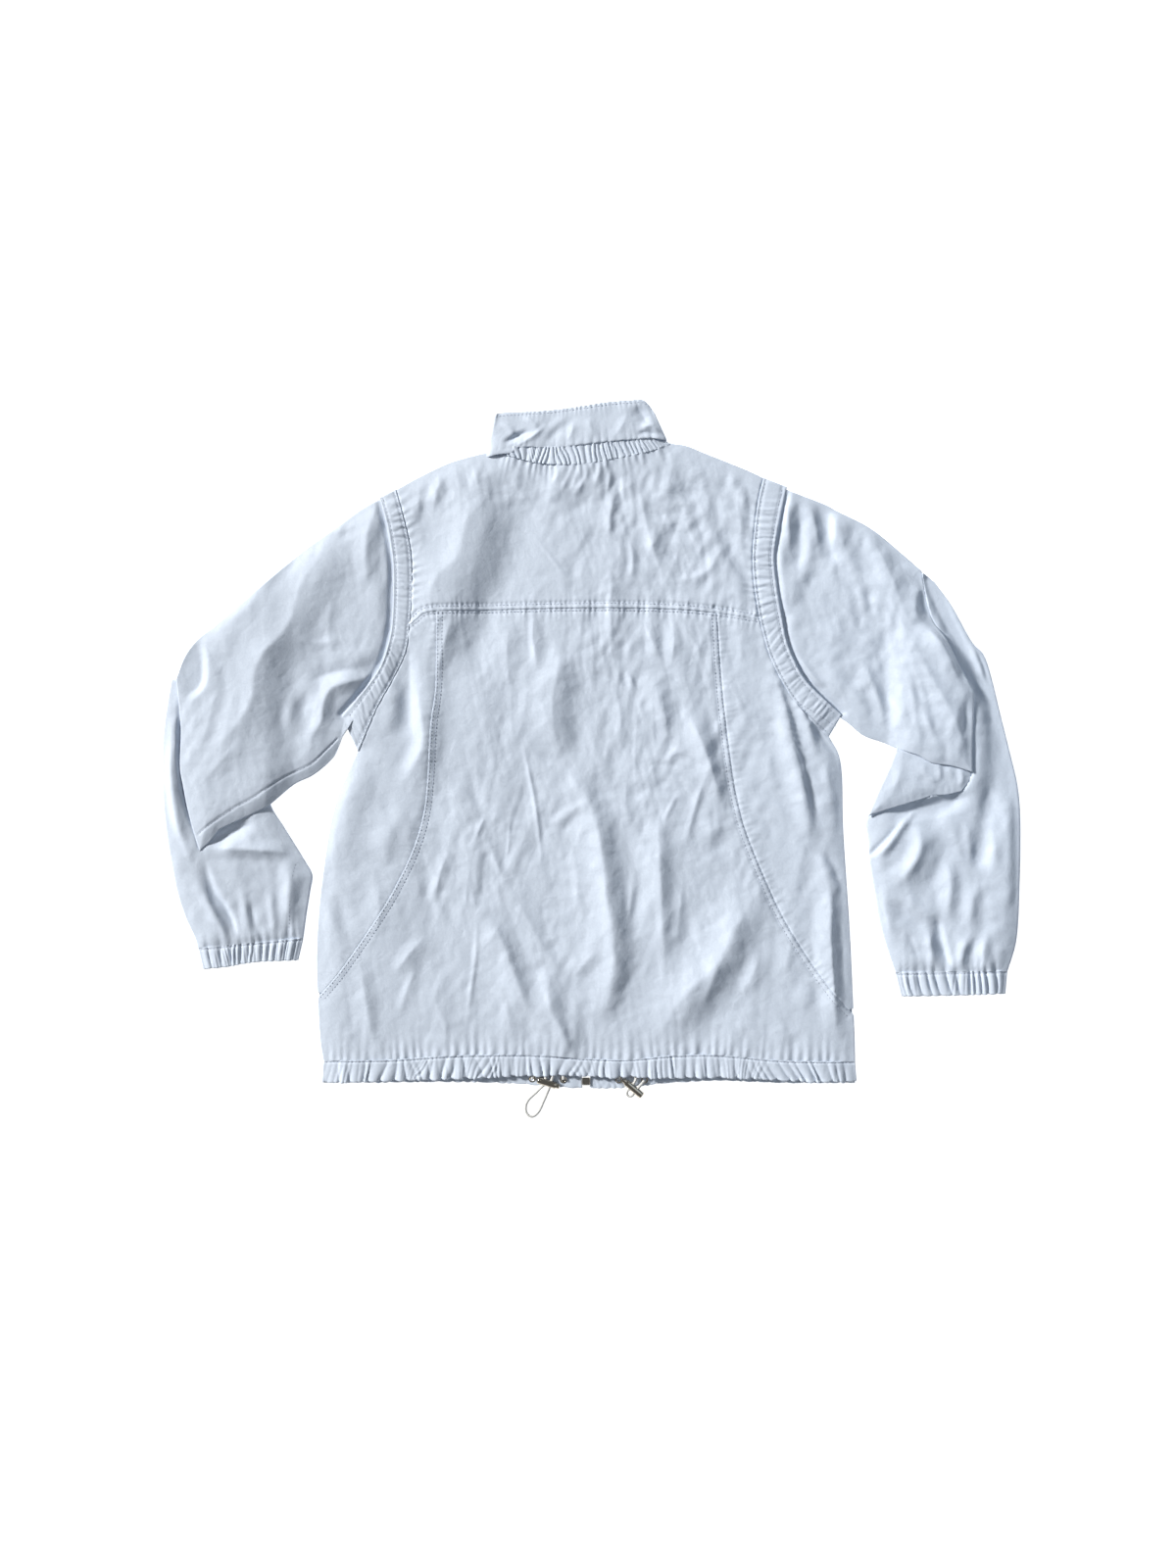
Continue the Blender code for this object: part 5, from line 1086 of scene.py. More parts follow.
# ------------------------------------------------------------------ the back
yoke_top = np.vstack([curve(SHOULDER["left"][::-1]), curve(NECK_SEAM)[1:], curve(SHOULDER["right"])[1:]])
panel("back_yoke_cloth", Stretch(yoke_top, ARMHOLE_UPPER["right"], YOKE_SEAM, ARMHOLE_UPPER["left"]), body,
      ["back_yoke"], ("free", "seam", "seam", "seam"), (0, 0, 0.35, 0))
join_x = {side: seam[0][0] for side, seam in CURVED_SEAM.items()}
seam_down, seam_share = {}, {}
for side, seam in CURVED_SEAM.items():
    seam_down[side] = np.vstack([curve(seam), curve(SIDE_FOOT[side])[1:]])
    seam_share[side] = lengths(curve(seam))[-1] / lengths(seam_down[side])[-1]
yoke_middle = between(YOKE_SEAM, join_x["left"], join_x["right"])
panel("back_centre_cloth", Stretch(yoke_middle, seam_down["right"], HEM_SEAM, seam_down["left"]), body,
      ["back_centre"], ("seam", seam_share["right"], "seam", seam_share["left"]), (-0.3, 0.5, 0, 0.45),
      1.1, 1.8)
for side in SIDES:
    outer = np.vstack([curve(ARMHOLE_LOWER[side]), curve(SIDE_EDGE[side])[1:]])
    share = lengths(curve(ARMHOLE_LOWER[side]))[-1] / lengths(outer)[-1]
    outer = at(outer, np.linspace(0, 0.985, 140))
    seam = at(curve(CURVED_SEAM[side]), np.linspace(0, 0.985, 140))
    if side == "left":
        top = between(YOKE_SEAM, YOKE_SEAM[0][0], join_x[side])
        stretch = Stretch(top, seam, np.array([outer[-1], seam[-1]]), outer)
        edges = ("seam", "seam", "seam", share)
    else:
        top = between(YOKE_SEAM, join_x[side], YOKE_SEAM[-1][0])
        stretch = Stretch(top, outer, np.array([seam[-1], outer[-1]]), seam)
        edges = ("seam", share, "seam", "seam")
    panel(f"back_side_{side}_cloth", stretch, body, [f"back_side_{side}"], edges)

# ------------------------------------------------------------------ the fronts, underneath
FRONT_Z, FRONT_WAVE, TAPE_EDGE, NECK_START = 0.75, 0.16, 4.8, 246


def zip_x(at_y):
    """The middle of the zip, which leans a little."""
    return ZIP_FOOT[0] + (ZIP_HEAD[0] - ZIP_FOOT[0]) * (at_y - ZIP_FOOT[1]) / (ZIP_HEAD[1] - ZIP_FOOT[1])


under_waves = mottle(51, 60, 120)
for side, sign in SIDES.items():
    lines = (SIDE_FOOT[side], SIDE_EDGE[side], ARMHOLE_LOWER[side], ARMHOLE_UPPER[side], SHOULDER[side])
    side_up = np.vstack([lines[0][::-1], *(line[::-1][1:] for line in lines[1:4]), lines[4][::-1][1:-1]])
    neck = np.array([p for p in FRONT_NECK if sign * (p[0] + 12) >= 0], float)
    neck = neck[np.argsort(neck[:, 1])]
    rows = []
    for y in np.linspace(-322.0, side_up[-1, 1] - 1.0, 110):
        at_zip = zip_x(y) + sign * TAPE_EDGE
        inner = at_zip if y < NECK_START else np.interp(y, neck[:, 1], neck[:, 0])
        if sign * (inner - at_zip) < 0:
            inner = at_zip
        outer = np.interp(y, side_up[:, 1], side_up[:, 0]) - sign * 0.6
        rows.append([(outer + (inner - outer) * t, y) for t in np.linspace(0, 1, 44)])
    rows = np.array(rows)
    z = FRONT_Z + FRONT_WAVE * sample(under_waves, rows[..., 0], rows[..., 1])
    cloth_grid(f"front_{side}_cloth", np.concatenate([rows, z[..., None]], -1), [f"front_{side}"])


# ------------------------------------------------------------------ gathered bands
def band(top, bottom, us, vs):
    """Points between two lines, with straight ends."""
    first, last = np.array([top[0], bottom[0]]), np.array([top[-1], bottom[-1]])
    return coons(Stretch(top, last, bottom, first), us, vs)


# depth of the casing, its stitches' distance from the seam, and how far its gathers lean over that depth
HEM_DEEP, HEM_ROW, HEM_LEAN = 22.0, 1.8, 8.0


def hem_panel(name, top, bottom, z_top, z_edge, pitch, height, seed, roll, scallop, ends=26.0, join=None):
    """A casing gathered by its cord: a row of uneven gathers and a scalloped lower fold. It returns the line
    of its stitches."""
    total = lengths(curve(top))[-1]
    us = spread(total, 0.95, 0.95)
    vs = spread(HEM_DEEP, 0.7, 1.2, reach=5.0)
    points = band(top, bottom, us, vs)
    along, v = (us * total)[None, :], vs[:, None]
    middle = ease(np.minimum(along, total - along) / ends)
    shape = gathers(along, v, pitch, seed, HEM_LEAN, 0.6) * height * (0.35 + 0.65 * middle)
    z = z_edge + (z_top - z_edge) * middle + shape * (0.42 + 0.74 * np.clip(v, 0, 1) ** 1.4)
    z = z - 0.7 * np.exp(-((v * HEM_DEEP - HEM_ROW) / 0.9) ** 2)
    if join is not None:
        z = z - 1.6 * np.exp(-((points[..., 0] - join - 3.0 * v) / 1.3) ** 2)
    z = np.maximum(z, 1.2)
    wave = gathers(along, np.ones((1, 1)), pitch, seed, HEM_LEAN, 0.6)
    points = points.copy()
    points[..., 1] -= scallop * wave * ease((v - 0.6) / 0.4) * (0.3 + 0.7 * middle)
    low, full = np.full(len(us), 0.4), np.full(len(us), roll)
    grid = rolled(points, z, (low, full), (np.full(len(vs), 0.8),) * 2)
    cloth_grid(f"{name}_cloth", grid, [name])
    row = int(np.argmin(np.abs(vs * HEM_DEEP - HEM_ROW)))
    return np.column_stack([points[row], z[row] + 0.1])


hem_row = hem_panel("hem_back", HEM_SEAM, HEM_EDGE, 6.3, 3.0, 10.5, 2.7, 61, 1.15, 3.6, join=81.5)
for side, low, high, seed in (("left", -272.0, -10.4, 62), ("right", -0.6, 268.0, 63)):
    top = between([(x, y + 1.5) for x, y in HEM_SEAM], low, high)
    bottom = between(FRONT_HEM_EDGE, low, high)
    hem_panel(f"hem_front_{side}", top, bottom, 1.7, 1.5, 10.5, 0.7, seed, 0.7, 1.4, 8.0)


NECKBAND_DEEP = 18.0


def neckband_cloth():
    """The gathered elastic band, a crescent whose upper edge runs under the collar."""
    top, bottom = curve(NECKBAND_TOP), curve(NECK_SEAM)
    us = spread(lengths(bottom)[-1], 0.6, 0.6)
    vs = np.concatenate([[-0.30, -0.22, -0.14, -0.07], spread(NECKBAND_DEEP, 0.6, 0.9, reach=4.0)])
    points = band(top, bottom, us, np.maximum(vs, 0))
    total = lengths(bottom)[-1]
    along, v = (us * total)[None, :], vs[:, None]
    points = points + np.stack([0 * v, np.maximum(-v, 0) * 14], -1)
    tight = ease(np.minimum(along, total - along) / 16)
    wave = gathers(along, np.clip(v, 0, 1), 5.5, 71, 4.2, 0.4)
    under = sample(bulge, points[..., 0], points[..., 1])
    z = 3.0 + 3.1 * tight + under + 1.9 * wave * (0.4 + 0.6 * tight)
    z = z * (1 - ease(-v / 0.22)) + 3.4 * ease(-v / 0.22)
    grid = rolled(points, z, (np.full(len(us), 0.4), np.full(len(us), 0.45)), (np.full(len(vs), 0.6),) * 2)
    cloth_grid("neckband_cloth", grid, ["neckband"])


neckband_cloth()


def closed_rings(name, rings, material, closed_path=False):
    """Faces along closed rings of equal size, with closed_path also from the last ring to the first."""
    rings = np.asarray(rings)
    count, size = rings.shape[:2]
    faces = quads(count, size, around=True)
    if closed_path:
        base = (count - 1) * size
        c = np.arange(size)
        faces = np.vstack([faces, np.stack([base + c, c, (c + 1) % size, base + (c + 1) % size], -1)])
    piece(f"{name}_cloth", rings.reshape(-1, 3), faces, material, [name])


# depth of a cuff, and its stitches' distance from the seam
CUFF_DEEP, CUFF_ROW = 23.0, 2.2


def cuff_cloth(side, seed):
    """An elastic cuff: deep uneven pleats, flat underneath, a ring all round. It returns the line of its
    stitches."""
    seam, edge = curve(CUFF[side][0]), curve(CUFF[side][1])
    total = lengths(seam)[-1]
    us = spread(total, 0.65, 0.65)
    vs = np.concatenate([[-0.12, -0.07, -0.03], spread(CUFF_DEEP, 0.7, 1.3, reach=4.0)])
    points = band(seam, edge, us, vs)
    along, v = (us * total)[None, :], vs[:, None]
    ends = ease(np.minimum(along, total - along) / 9)
    wave = gathers(along, np.clip(v, 0, 1), CUFF_PITCH, seed, 2.2, 0.6)
    z = 2.2 + 2.1 * ends + 3.4 * wave * ends * (0.6 + 0.4 * np.sin(pi * np.clip(v * 1.1, 0, 1)))
    z = np.maximum(z - 0.6 * np.exp(-((v * CUFF_DEEP - CUFF_ROW) / 0.9) ** 2), 1.2)
    z = z * (1 - ease(-v / 0.1)) + 2.4 * ease(-v / 0.1)
    points = points.copy()
    points[..., 1] -= 1.1 * wave[-1][None, :] * ease((v - 0.7) / 0.3)
    rings = []
    for col in range(len(us)):
        upper = np.column_stack([points[:, col], z[:, col]])
        fold = [[*points[-1, col] + (0, -0.7), z[-1, col] * 0.55 + 0.2]]
        lower = np.column_stack([points[::-1, col], np.full(len(vs), 0.3)])
        rings.append(np.vstack([upper, fold, lower]))
    first, last = rings[0].copy(), rings[-1].copy()
    for ring, out in ((first, -0.8), (last, 0.8)):
        ring[:, 0] += out
        ring[:, 2] = 1.2
    cloth_grid(f"cuff_{side}_cloth", np.array([first, *rings, last]), [f"cuff_{side}"])
    row = int(np.argmin(np.abs(vs * CUFF_DEEP - CUFF_ROW)))
    return np.column_stack([points[row], z[row] + 0.12])


cuff_rows = [cuff_cloth(side, seed) for side, seed in CUFF_SEED.items()]


# ------------------------------------------------------------------ sleeves
def tube(stretch, top_map, base, fine=1.3, coarse=1.95, closed=(False, False), along="u"):
    """Rings of a flat tube: its upper side follows the map, its edges are rolled, its underside is plain."""
    if along == "v":
        stretch = Stretch([*stretch.left], [*stretch.bottom], [*stretch.right], [*stretch.top])
    us, vs = (spread(length, fine, coarse) for length in span(stretch))
    points = coons(stretch, us, vs)
    floor = base(points[..., 0], points[..., 1])
    z = floor + sample(top_map, points[..., 0], points[..., 1])
    rings = []

    def turn(spot, inner, low, high, *shares):
        """Points round a fold, each from how far out it is and its share of the tube's height."""
        out = (spot - inner) / max(np.linalg.norm(spot - inner), 1e-6)
        return [[*(spot + out * reach), low + (high - low) * share] for reach, share in shares]

    for col in range(len(us)):
        line, low, high = points[:, col], floor[:, col], z[:, col]
        upper, lower = np.column_stack([line, high]), np.column_stack([line, low + 0.15])[::-1]
        turn_end = turn(line[-1], line[-2], low[-1], high[-1], (0.75, 0.75), (0.9, 0.35))
        turn_start = turn(line[0], line[1], low[0], high[0], (0.9, 0.35), (0.75, 0.75))
        rings.append(np.vstack([upper, turn_end, lower, turn_start]))
    rows = len(vs)
    # for each point of a ring, the upper point it lies under
    above = np.r_[np.arange(rows), [rows - 1] * 2, np.arange(rows)[::-1], [0] * 2]
    for end, shut in ((0, closed[0]), (-1, closed[1])):
        if not shut:
            continue
        ring, following = rings[end], rings[1 if end == 0 else -2]
        out = ring[:, :2] - following[:, :2]
        out /= np.maximum(np.linalg.norm(out, axis=1), 1e-6)[:, None]
        middle = ((ring[:rows, 2] + ring[rows + 2:2 * rows + 2, 2][::-1]) / 2)[above]
        extra = []
        for reach, squash in ((0.7, 0.35), (0.95, 0.0)):
            new = ring.copy()
            new[:, :2] += out * reach
            new[:, 2] = middle + (ring[:, 2] - middle) * squash
            if squash == 0.0:
                new[:, :2] = new[above, :2]
            extra.append(new)
        rings = extra[::-1] + rings if end == 0 else rings + extra
    return np.array(rings)


def joined_rings(name, groups, nodes):
    """Several tubes of one cut as one piece, drawn together where a tube is shut."""
    faces, start = [], 0
    for rings in groups:
        count, size = rings.shape[:2]
        faces.append(quads(count, size, around=True) + start)
        start += count * size
    verts = np.vstack([rings.reshape(-1, 3) for rings in groups])
    thing = piece(name, verts, np.vstack(faces), CLOTH, nodes)
    mesh = bmesh.new()
    mesh.from_mesh(thing.data)
    bmesh.ops.remove_doubles(mesh, verts=mesh.verts, dist=2e-6)
    mesh.to_mesh(thing.data)
    mesh.free()
    thing.data.shade_smooth()


def arm_base(side):
    return lambda x, y: arm_lift(side, x, y)


def level_base(height):
    return lambda x, y: np.full(np.shape(x), height)


joined_rings("sleeve_left_cloth", [
    tube(UPPER_ARM["left"], arm, arm_base("left"), closed=(True, False)),
    tube(FOREARM["left"], fore, level_base(0.12), closed=(True, False), along="v")], ["sleeve_left"])
joined_rings("sleeve_right_cloth", [
    tube(UPPER_ARM["right"], arm, arm_base("right"), closed=(False, True)),
    tube(FOREARM["right"], fore, level_base(0.12), closed=(True, False), along="v"),
    tube(ELBOW_FLAP, flap, level_base(FLAP_LIFT), closed=(True, True), along="v")], ["sleeve_right"])


# ------------------------------------------------------------------ armhole strips
# width of a strip, and the distance of its two rows of stitches from its outer fold and from the seam
STRIP_WIDE, FOLD_ROW, SEAM_ROW = 18.0, 2.6, 2.0


def strip_cloth(side, sign, seed):
    """A doubled strip all round an armhole; its outer edge is a free fold over the sleeve head. It returns
    its two long edges, its heights, and the shares of its width that they are at."""
    seam = np.vstack([curve(ARMHOLE_UPPER[side], 1.2), curve(ARMHOLE_LOWER[side], 1.2)[1:]])
    count = int(lengths(seam)[-1] / 1.3)
    shares = np.linspace(0, 1, count)
    seam = at(seam, shares)
    edge = at(curve(STRIP_EDGE[side], 1.2), shares)
    total = lengths(seam)[-1]
    along = shares * total
    vs = spread(STRIP_WIDE, 0.8, 1.3, reach=4.0)
    inner = seam + (edge - seam) * 0.012
    at_seam = sample(body, inner[:, 0] - sign * 2.5, inner[:, 1])
    ends = np.minimum(along, total - along)
    rise = 3.0 + 3.0 * ease(ends / 26)
    z_in = np.minimum(np.maximum(at_seam, 2.6), rise + 0.6) + 0.15
    z_out = rise + 0.35
    v = vs[None, :]
    swell = np.sin(pi * np.clip(0.06 + v * 0.80, 0, 1))
    wave = gathers(along[:, None], v, 6.8, seed, 9.0, 0.6)
    cross = gathers(along[:, None], 1 - v, 8.2, seed + 30, -11.0, 0.6)
    z = (z_in[:, None] * (1 - v) + z_out[:, None] * v + 0.5 * swell
         + (0.8 * wave + 0.75 * cross) * swell * (0.45 + 0.55 * ease(ends / 20))[:, None])
    z = z - 0.75 * np.exp(-((1 - v) * STRIP_WIDE - FOLD_ROW) ** 2 / 0.9)
    z = z - 0.7 * np.exp(-((v * STRIP_WIDE) - SEAM_ROW) ** 2 / 0.9)
    across = edge - seam
    across /= np.linalg.norm(across, axis=1)[:, None]
    rings = []
    for index in range(count):
        line = seam[index] + (edge[index] - seam[index]) * vs[:, None]
        upper = np.column_stack([line, z[index]])
        lower = np.column_stack([line, np.minimum(z[index], z_in[index]) - 1.1])[::-1]
        fold = [[*(line[-1] + across[index] * 0.55), z[index, -1] - 0.5]]
        back = [[*(line[0] - across[index] * 0.4), z[index, 0] - 0.5]]
        rings.append(np.vstack([upper, fold, lower, back]))

    def laid(ring):
        """The heights of a ring turned over onto the front."""
        return 0.35 + (ring[:, 2].max() - ring[:, 2]) * 0.3

    def turned(ring, outward, steps=5):
        """Rings round an end of the strip, from the back to the front."""
        outward = outward / np.linalg.norm(outward)
        low, made = laid(ring), []
        for step in range(1, steps + 1):
            angle = pi * step / steps
            new = ring.copy()
            new[:, :2] += outward * sin(angle) * 1.35
            new[:, 2] = (ring[:, 2] + low) / 2 + (ring[:, 2] - low) / 2 * cos(angle)
            made.append(new)
        return made

    # round the ends and back along the front
    end_rings = turned(rings[-1], seam[-1] - seam[-4] + edge[-1] - edge[-4])
    start_rings = turned(rings[0], seam[0] - seam[3] + edge[0] - edge[3])
    lower = [np.column_stack([rings[index][:, :2], laid(rings[index])]) for index in range(count - 9, 0, -8)]
    closed_rings(f"armhole_band_{side}", rings + end_rings + lower + start_rings[::-1], CLOTH,
                 closed_path=True)
    return seam, edge, z, vs


strip_lines = {side: strip_cloth(side, SIDES[side], seed) for side, seed in (("left", 101), ("right", 111))}


# ------------------------------------------------------------------ collar
# depth of the collar, and its stitches' distance from the top fold
COLLAR_DEEP, COLLAR_ROW, COLLAR_STEPS = 38.0, 2.4, 30


def collar_cloth():
    """The stand collar: two plies with a folded top edge, folded flat at both sides. It returns the points
    of its outer face."""
    lower = curve([(*s.lower, s.z) for s in COLLAR], 1.1)
    upper = curve([(*s.upper, s.z + s.rise) for s in COLLAR], 1.1)
    count = max(len(lower), len(upper))
    shares = np.linspace(0, 1, count)
    lower, upper = at(lower, shares), at(upper, shares)
    rows = np.linspace(0, 1, COLLAR_STEPS)
    shown = ease((lower[:, 2] - 2.8) / 1.6)
    lower[:, 1] -= 2.2 * shown + 6.4 * ease((-74 - lower[:, 0]) / 9) * (lower[:, 1] > 296)
    lower[:, 2] += 1.6 * shown
    upper[:, 2] -= 1.8 * shown
    middle = lower[:, None] + (upper - lower)[:, None] * rows[None, :, None]
    run = np.gradient(middle, axis=0)
    across = np.broadcast_to((upper - lower)[:, None], middle.shape)
    face = np.cross(run, across)
    face /= np.maximum(np.linalg.norm(face, axis=2), 1e-9)[..., None]
    visible = ease((middle[..., 2] - 2.8) / 1.6) * (middle[..., 1] > 299)
    ripple = sample(collar_folds, middle[..., 0], middle[..., 1]) * visible
    seam_pull = 0.9 * (pleats(np.broadcast_to(lengths(lower)[:, None], ripple.shape), 8.0, 121) - 0.5)
    ripple = ripple + seam_pull * visible * np.exp(-rows[None, :] * 40 / 7)
    ticks = pleats(np.broadcast_to(lengths(upper)[:, None], ripple.shape), 4.7, 122, 0.2) - 0.6
    ripple = ripple + 2.4 * ticks * visible * np.exp(-(1 - rows[None, :]) * COLLAR_DEEP / 2.8)
    ripple = ripple - 0.35 * visible * np.exp(-(((1 - rows[None, :]) * COLLAR_DEEP - COLLAR_ROW) / 0.9) ** 2)
    half = 0.55 * np.sqrt(np.clip(1 - ((rows - 0.5) * 2) ** 14, 0.05, 1))[None, :, None]
    outer = middle + face * half
    outer[..., 2] += ripple
    inner = middle - face * half
    inner[..., 2] += np.minimum(ripple, 0)
    tip = upper - lower
    tip /= np.linalg.norm(tip, axis=1)[:, None]
    top = upper[:, None] + tip[:, None] * 0.45
    top[..., 2] += ripple[:, -1:]
    foot = lower[:, None] - tip[:, None] * 0.3
    rings = np.concatenate([outer, top, inner[:, ::-1], foot], 1)
    rings[..., 2] = np.maximum(rings[..., 2], 0.08)
    closed_rings("collar", rings, CLOTH)
    return outer


collar_face = collar_cloth()


# ------------------------------------------------------------------ stitching
def stitches(name, rows, pitch=3.8, length=2.7, radius=0.34):
    """Rows of thread: each stitch dips into the cloth at both ends."""
    profile = ((0.0, 0.0, -0.30), (0.12, 0.75, -0.1), (0.5, 1.0, 0.06), (0.88, 0.75, -0.1), (1.0, 0.0, -0.30))
    verts, faces = [], []
    sides = 5
    for line in rows:
        reach = lengths(line)
        for begin in np.arange(1.0, reach[-1] - length - 0.5, pitch):
            ends = np.array([[np.interp(begin + length * share, reach, line[:, axis]) for axis in range(3)]
                             for share in (0, 1)])
            run = ends[1] - ends[0]
            run /= np.linalg.norm(run)
            side = np.array((-run[1], run[0], 0.0))
            side /= np.linalg.norm(side)
            up = np.cross(run, side)
            start = len(verts)
            for share, size, drop in profile:
                middle = ends[0] + (ends[1] - ends[0]) * share + up * drop
                for step in range(sides):
                    angle = 2 * pi * step / sides
                    verts.append(middle + (side * cos(angle) + up * sin(angle)) * radius * max(size, 0.15))
            for ring in range(len(profile) - 1):
                for step in range(sides):
                    a, b = start + ring * sides + step, start + ring * sides + (step + 1) % sides
                    faces.append((a, b, b + sides, a + sides))
    piece(name, verts, faces, THREAD)


def on_map(line, away, field, lift=0.1, base=None):
    """A row of stitches beside a seam, just above a height map."""
    line = curve(line, 1.5)[:, :2]
    line = beside(line, away) if away else line
    z = sample(field, line[:, 0], line[:, 1]) + lift
    if base is not None:
        z = z + base(line[:, 0], line[:, 1])
    return np.column_stack([line, z])


stitches("yoke_stitching", [on_map(YOKE_SEAM, 4.0, body, 0.4), on_map(YOKE_SEAM, -3.2, body)])
curved_rows = (("left", 1.2, 0.4), ("left", 5.4, 0.25), ("right", -1.2, 0.4), ("right", -5.4, 0.25))
stitches("curved_seam_stitching", [on_map(CURVED_SEAM[side], away, body, lift)
                                   for side, away, lift in curved_rows])
stitches("hem_stitching", [hem_row])
stitches("cuff_stitching", cuff_rows, 3.4, 2.4)
strip_rows = []
for seam, edge, z, vs in strip_lines.values():
    for away in ((1 - vs) * STRIP_WIDE - FOLD_ROW, vs * STRIP_WIDE - SEAM_ROW):
        column = np.argmin(np.abs(away))
        line = seam + (edge - seam) * vs[column]
        strip_rows.append(np.column_stack([line, z[:, column] + 0.12])[2:-2])
# a short row across the foot of the right strip
foot = curve([(208, 43), (222, 35), (236, 26), (250, 17)], 1.5)
seam, edge, z, vs = strip_lines["right"]
spots = (seam[:, None] + (edge - seam)[:, None] * vs[None, :, None]).reshape(-1, 2)
heights = [z.reshape(-1)[int(np.argmin(((spots - spot) ** 2).sum(1)))] + 0.15 for spot in foot]
strip_rows.append(np.column_stack([foot, heights]))
stitches("armhole_stitching", strip_rows)
row = collar_face[:, int(round((COLLAR_STEPS - 1) * (1 - COLLAR_ROW / COLLAR_DEEP)))]
stitches("collar_stitching", [row[(row[:, 2] > 3.2) & (row[:, 1] > 320)] + (0, 0, 0.1)])
stitches("sleeve_stitching", [on_map(SLEEVE_SEAM, 0, arm, 0.1, arm_base("left")),
                              on_map(FORE_SEAM, 0, fore, 0.2)])

# ------------------------------------------------------------------ cords
def lock_axes(side):
    """A lock's middle, the way of its barrel, and the way its cord leaves it."""
    (x, y), turn, _ = LOCKS[side]
    angle = radians(turn)
    along, outward = np.array((cos(angle), sin(angle), 0)), np.array((sin(angle), -cos(angle), 0))
    return np.array((x, y, LOCK_Z)), along, outward


for side, count in (("left", 92), ("right", 60)):
    middle, along, outward = lock_axes(side)
    first, second = middle - along * STRAND, middle + along * STRAND
    reach = outward * (BARREL_R - 0.2)
    route = [*CORD_IN[side], first - reach, first, first + reach, *CORD_LOOP[side], second + reach, second,
             second - reach, *CORD_OUT[side]]
    route = curve([tuple(map(float, point)) for point in route], 0.4)
    route = at(route, np.linspace(0, 1, count)) * MM
    data = bpy.data.curves.new(f"elastic_cord_{side}", "CURVE")
    data.dimensions = "3D"
    data.bevel_depth = CORD_R * MM
    data.bevel_resolution = 4
    data.use_fill_caps = True
    spline = data.splines.new("POLY")
    spline.points.add(len(route) - 1)
    for knot, point in zip(spline.points, route):
        knot.co = (*point, 1)
    data.materials.append(CORD)
    cord = bpy.data.objects.new(f"elastic_cord_{side}", data)
    bpy.context.scene.collection.objects.link(cord)
    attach(cord, "root")
    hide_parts(f"drawcord_{side}")


# ------------------------------------------------------------------ metal parts
def lathe(name, profile, foot, axis, node, body_name="root", sides=40, flute=None):
    """A turned part from a table of distance along its axis and radius; a flute is where grooves run along
    it, from and to which distance and how deep."""
    spin = Vector((0, 0, 1)).rotation_difference(Vector(axis).normalized()).to_matrix()
    verts = []
    for along, radius in profile:
        for step in range(sides):
            angle = 2 * pi * step / sides
            here = radius
            if flute and flute[0] < along < flute[1]:
                here -= flute[2] * (step % 2)
            verts.append(tuple(spin @ Vector((cos(angle) * here, sin(angle) * here, along)) + Vector(foot)))
    faces = quads(len(profile), sides, around=True).tolist()
    faces.append(list(range(sides))[::-1])
    faces.append([(len(profile) - 1) * sides + step for step in range(sides)])
    thing = piece(name, verts, faces, CHROME, [node], body_name)
    thing.data.set_sharp_from_angle(angle=radians(35))


RING_PROFILE = [(0.0, 1.95), (0.0, 3.4), (0.25, 3.6), (0.6, 3.45), (0.85, 3.0), (0.8, 2.5), (0.45, 2.05),
                (0.02, 1.95)]
GROOVE_R = 3.3
for side, mouth in (("left", 1), ("right", -1)):
    middle, along, _ = lock_axes(side)
    half = LOCKS[side][2] / 2
    foot, axis = middle - along * mouth * half, along * mouth
    full = 2 * half - 1.5
    barrel = [(0.0, 2.4), (0.15, 3.0), (0.5, 3.45), (0.9, BARREL_R)]
    for start in (2.0, full - 3.6):
        barrel += [(start, BARREL_R), (start + 0.15, GROOVE_R), (start + 0.6, GROOVE_R),
                   (start + 0.75, BARREL_R)]
    barrel += [(full - 0.5, BARREL_R), (full - 0.15, 3.45), (full, 3.2), (full - 0.02, 2.85),
               (full - 3.0, 2.8)]
    lathe(f"cord_lock_{side}_barrel", barrel, foot, axis, f"cord_lock_{side}")
    knob = [(4.0, 2.5), (full - 0.6, 2.55), (full + 1.2, 2.6), (full + 2.6, 2.6), (full + 3.3, 2.45),
            (full + 3.7, 2.05), (full + 3.85, 1.3), (full + 3.9, 0.4)]
    lathe(f"plunger_{side}_knob", knob, foot, axis, f"plunger_{side}", f"{side}_plunger",
          flute=(full + 0.4, full + 3.0, 0.14))
for name, (x, y) in EYELETS.items():
    lathe(f"{name}_ring", RING_PROFILE, (x, y, 1.5), (0, 0, 1), name, sides=32)


def place(point):
    """A number that puts points in order: by height, then along the jacket, then across it."""
    return round(point.x, 2) + 1e3 * round(point.y, 2) + 1e6 * round(point.z, 2)


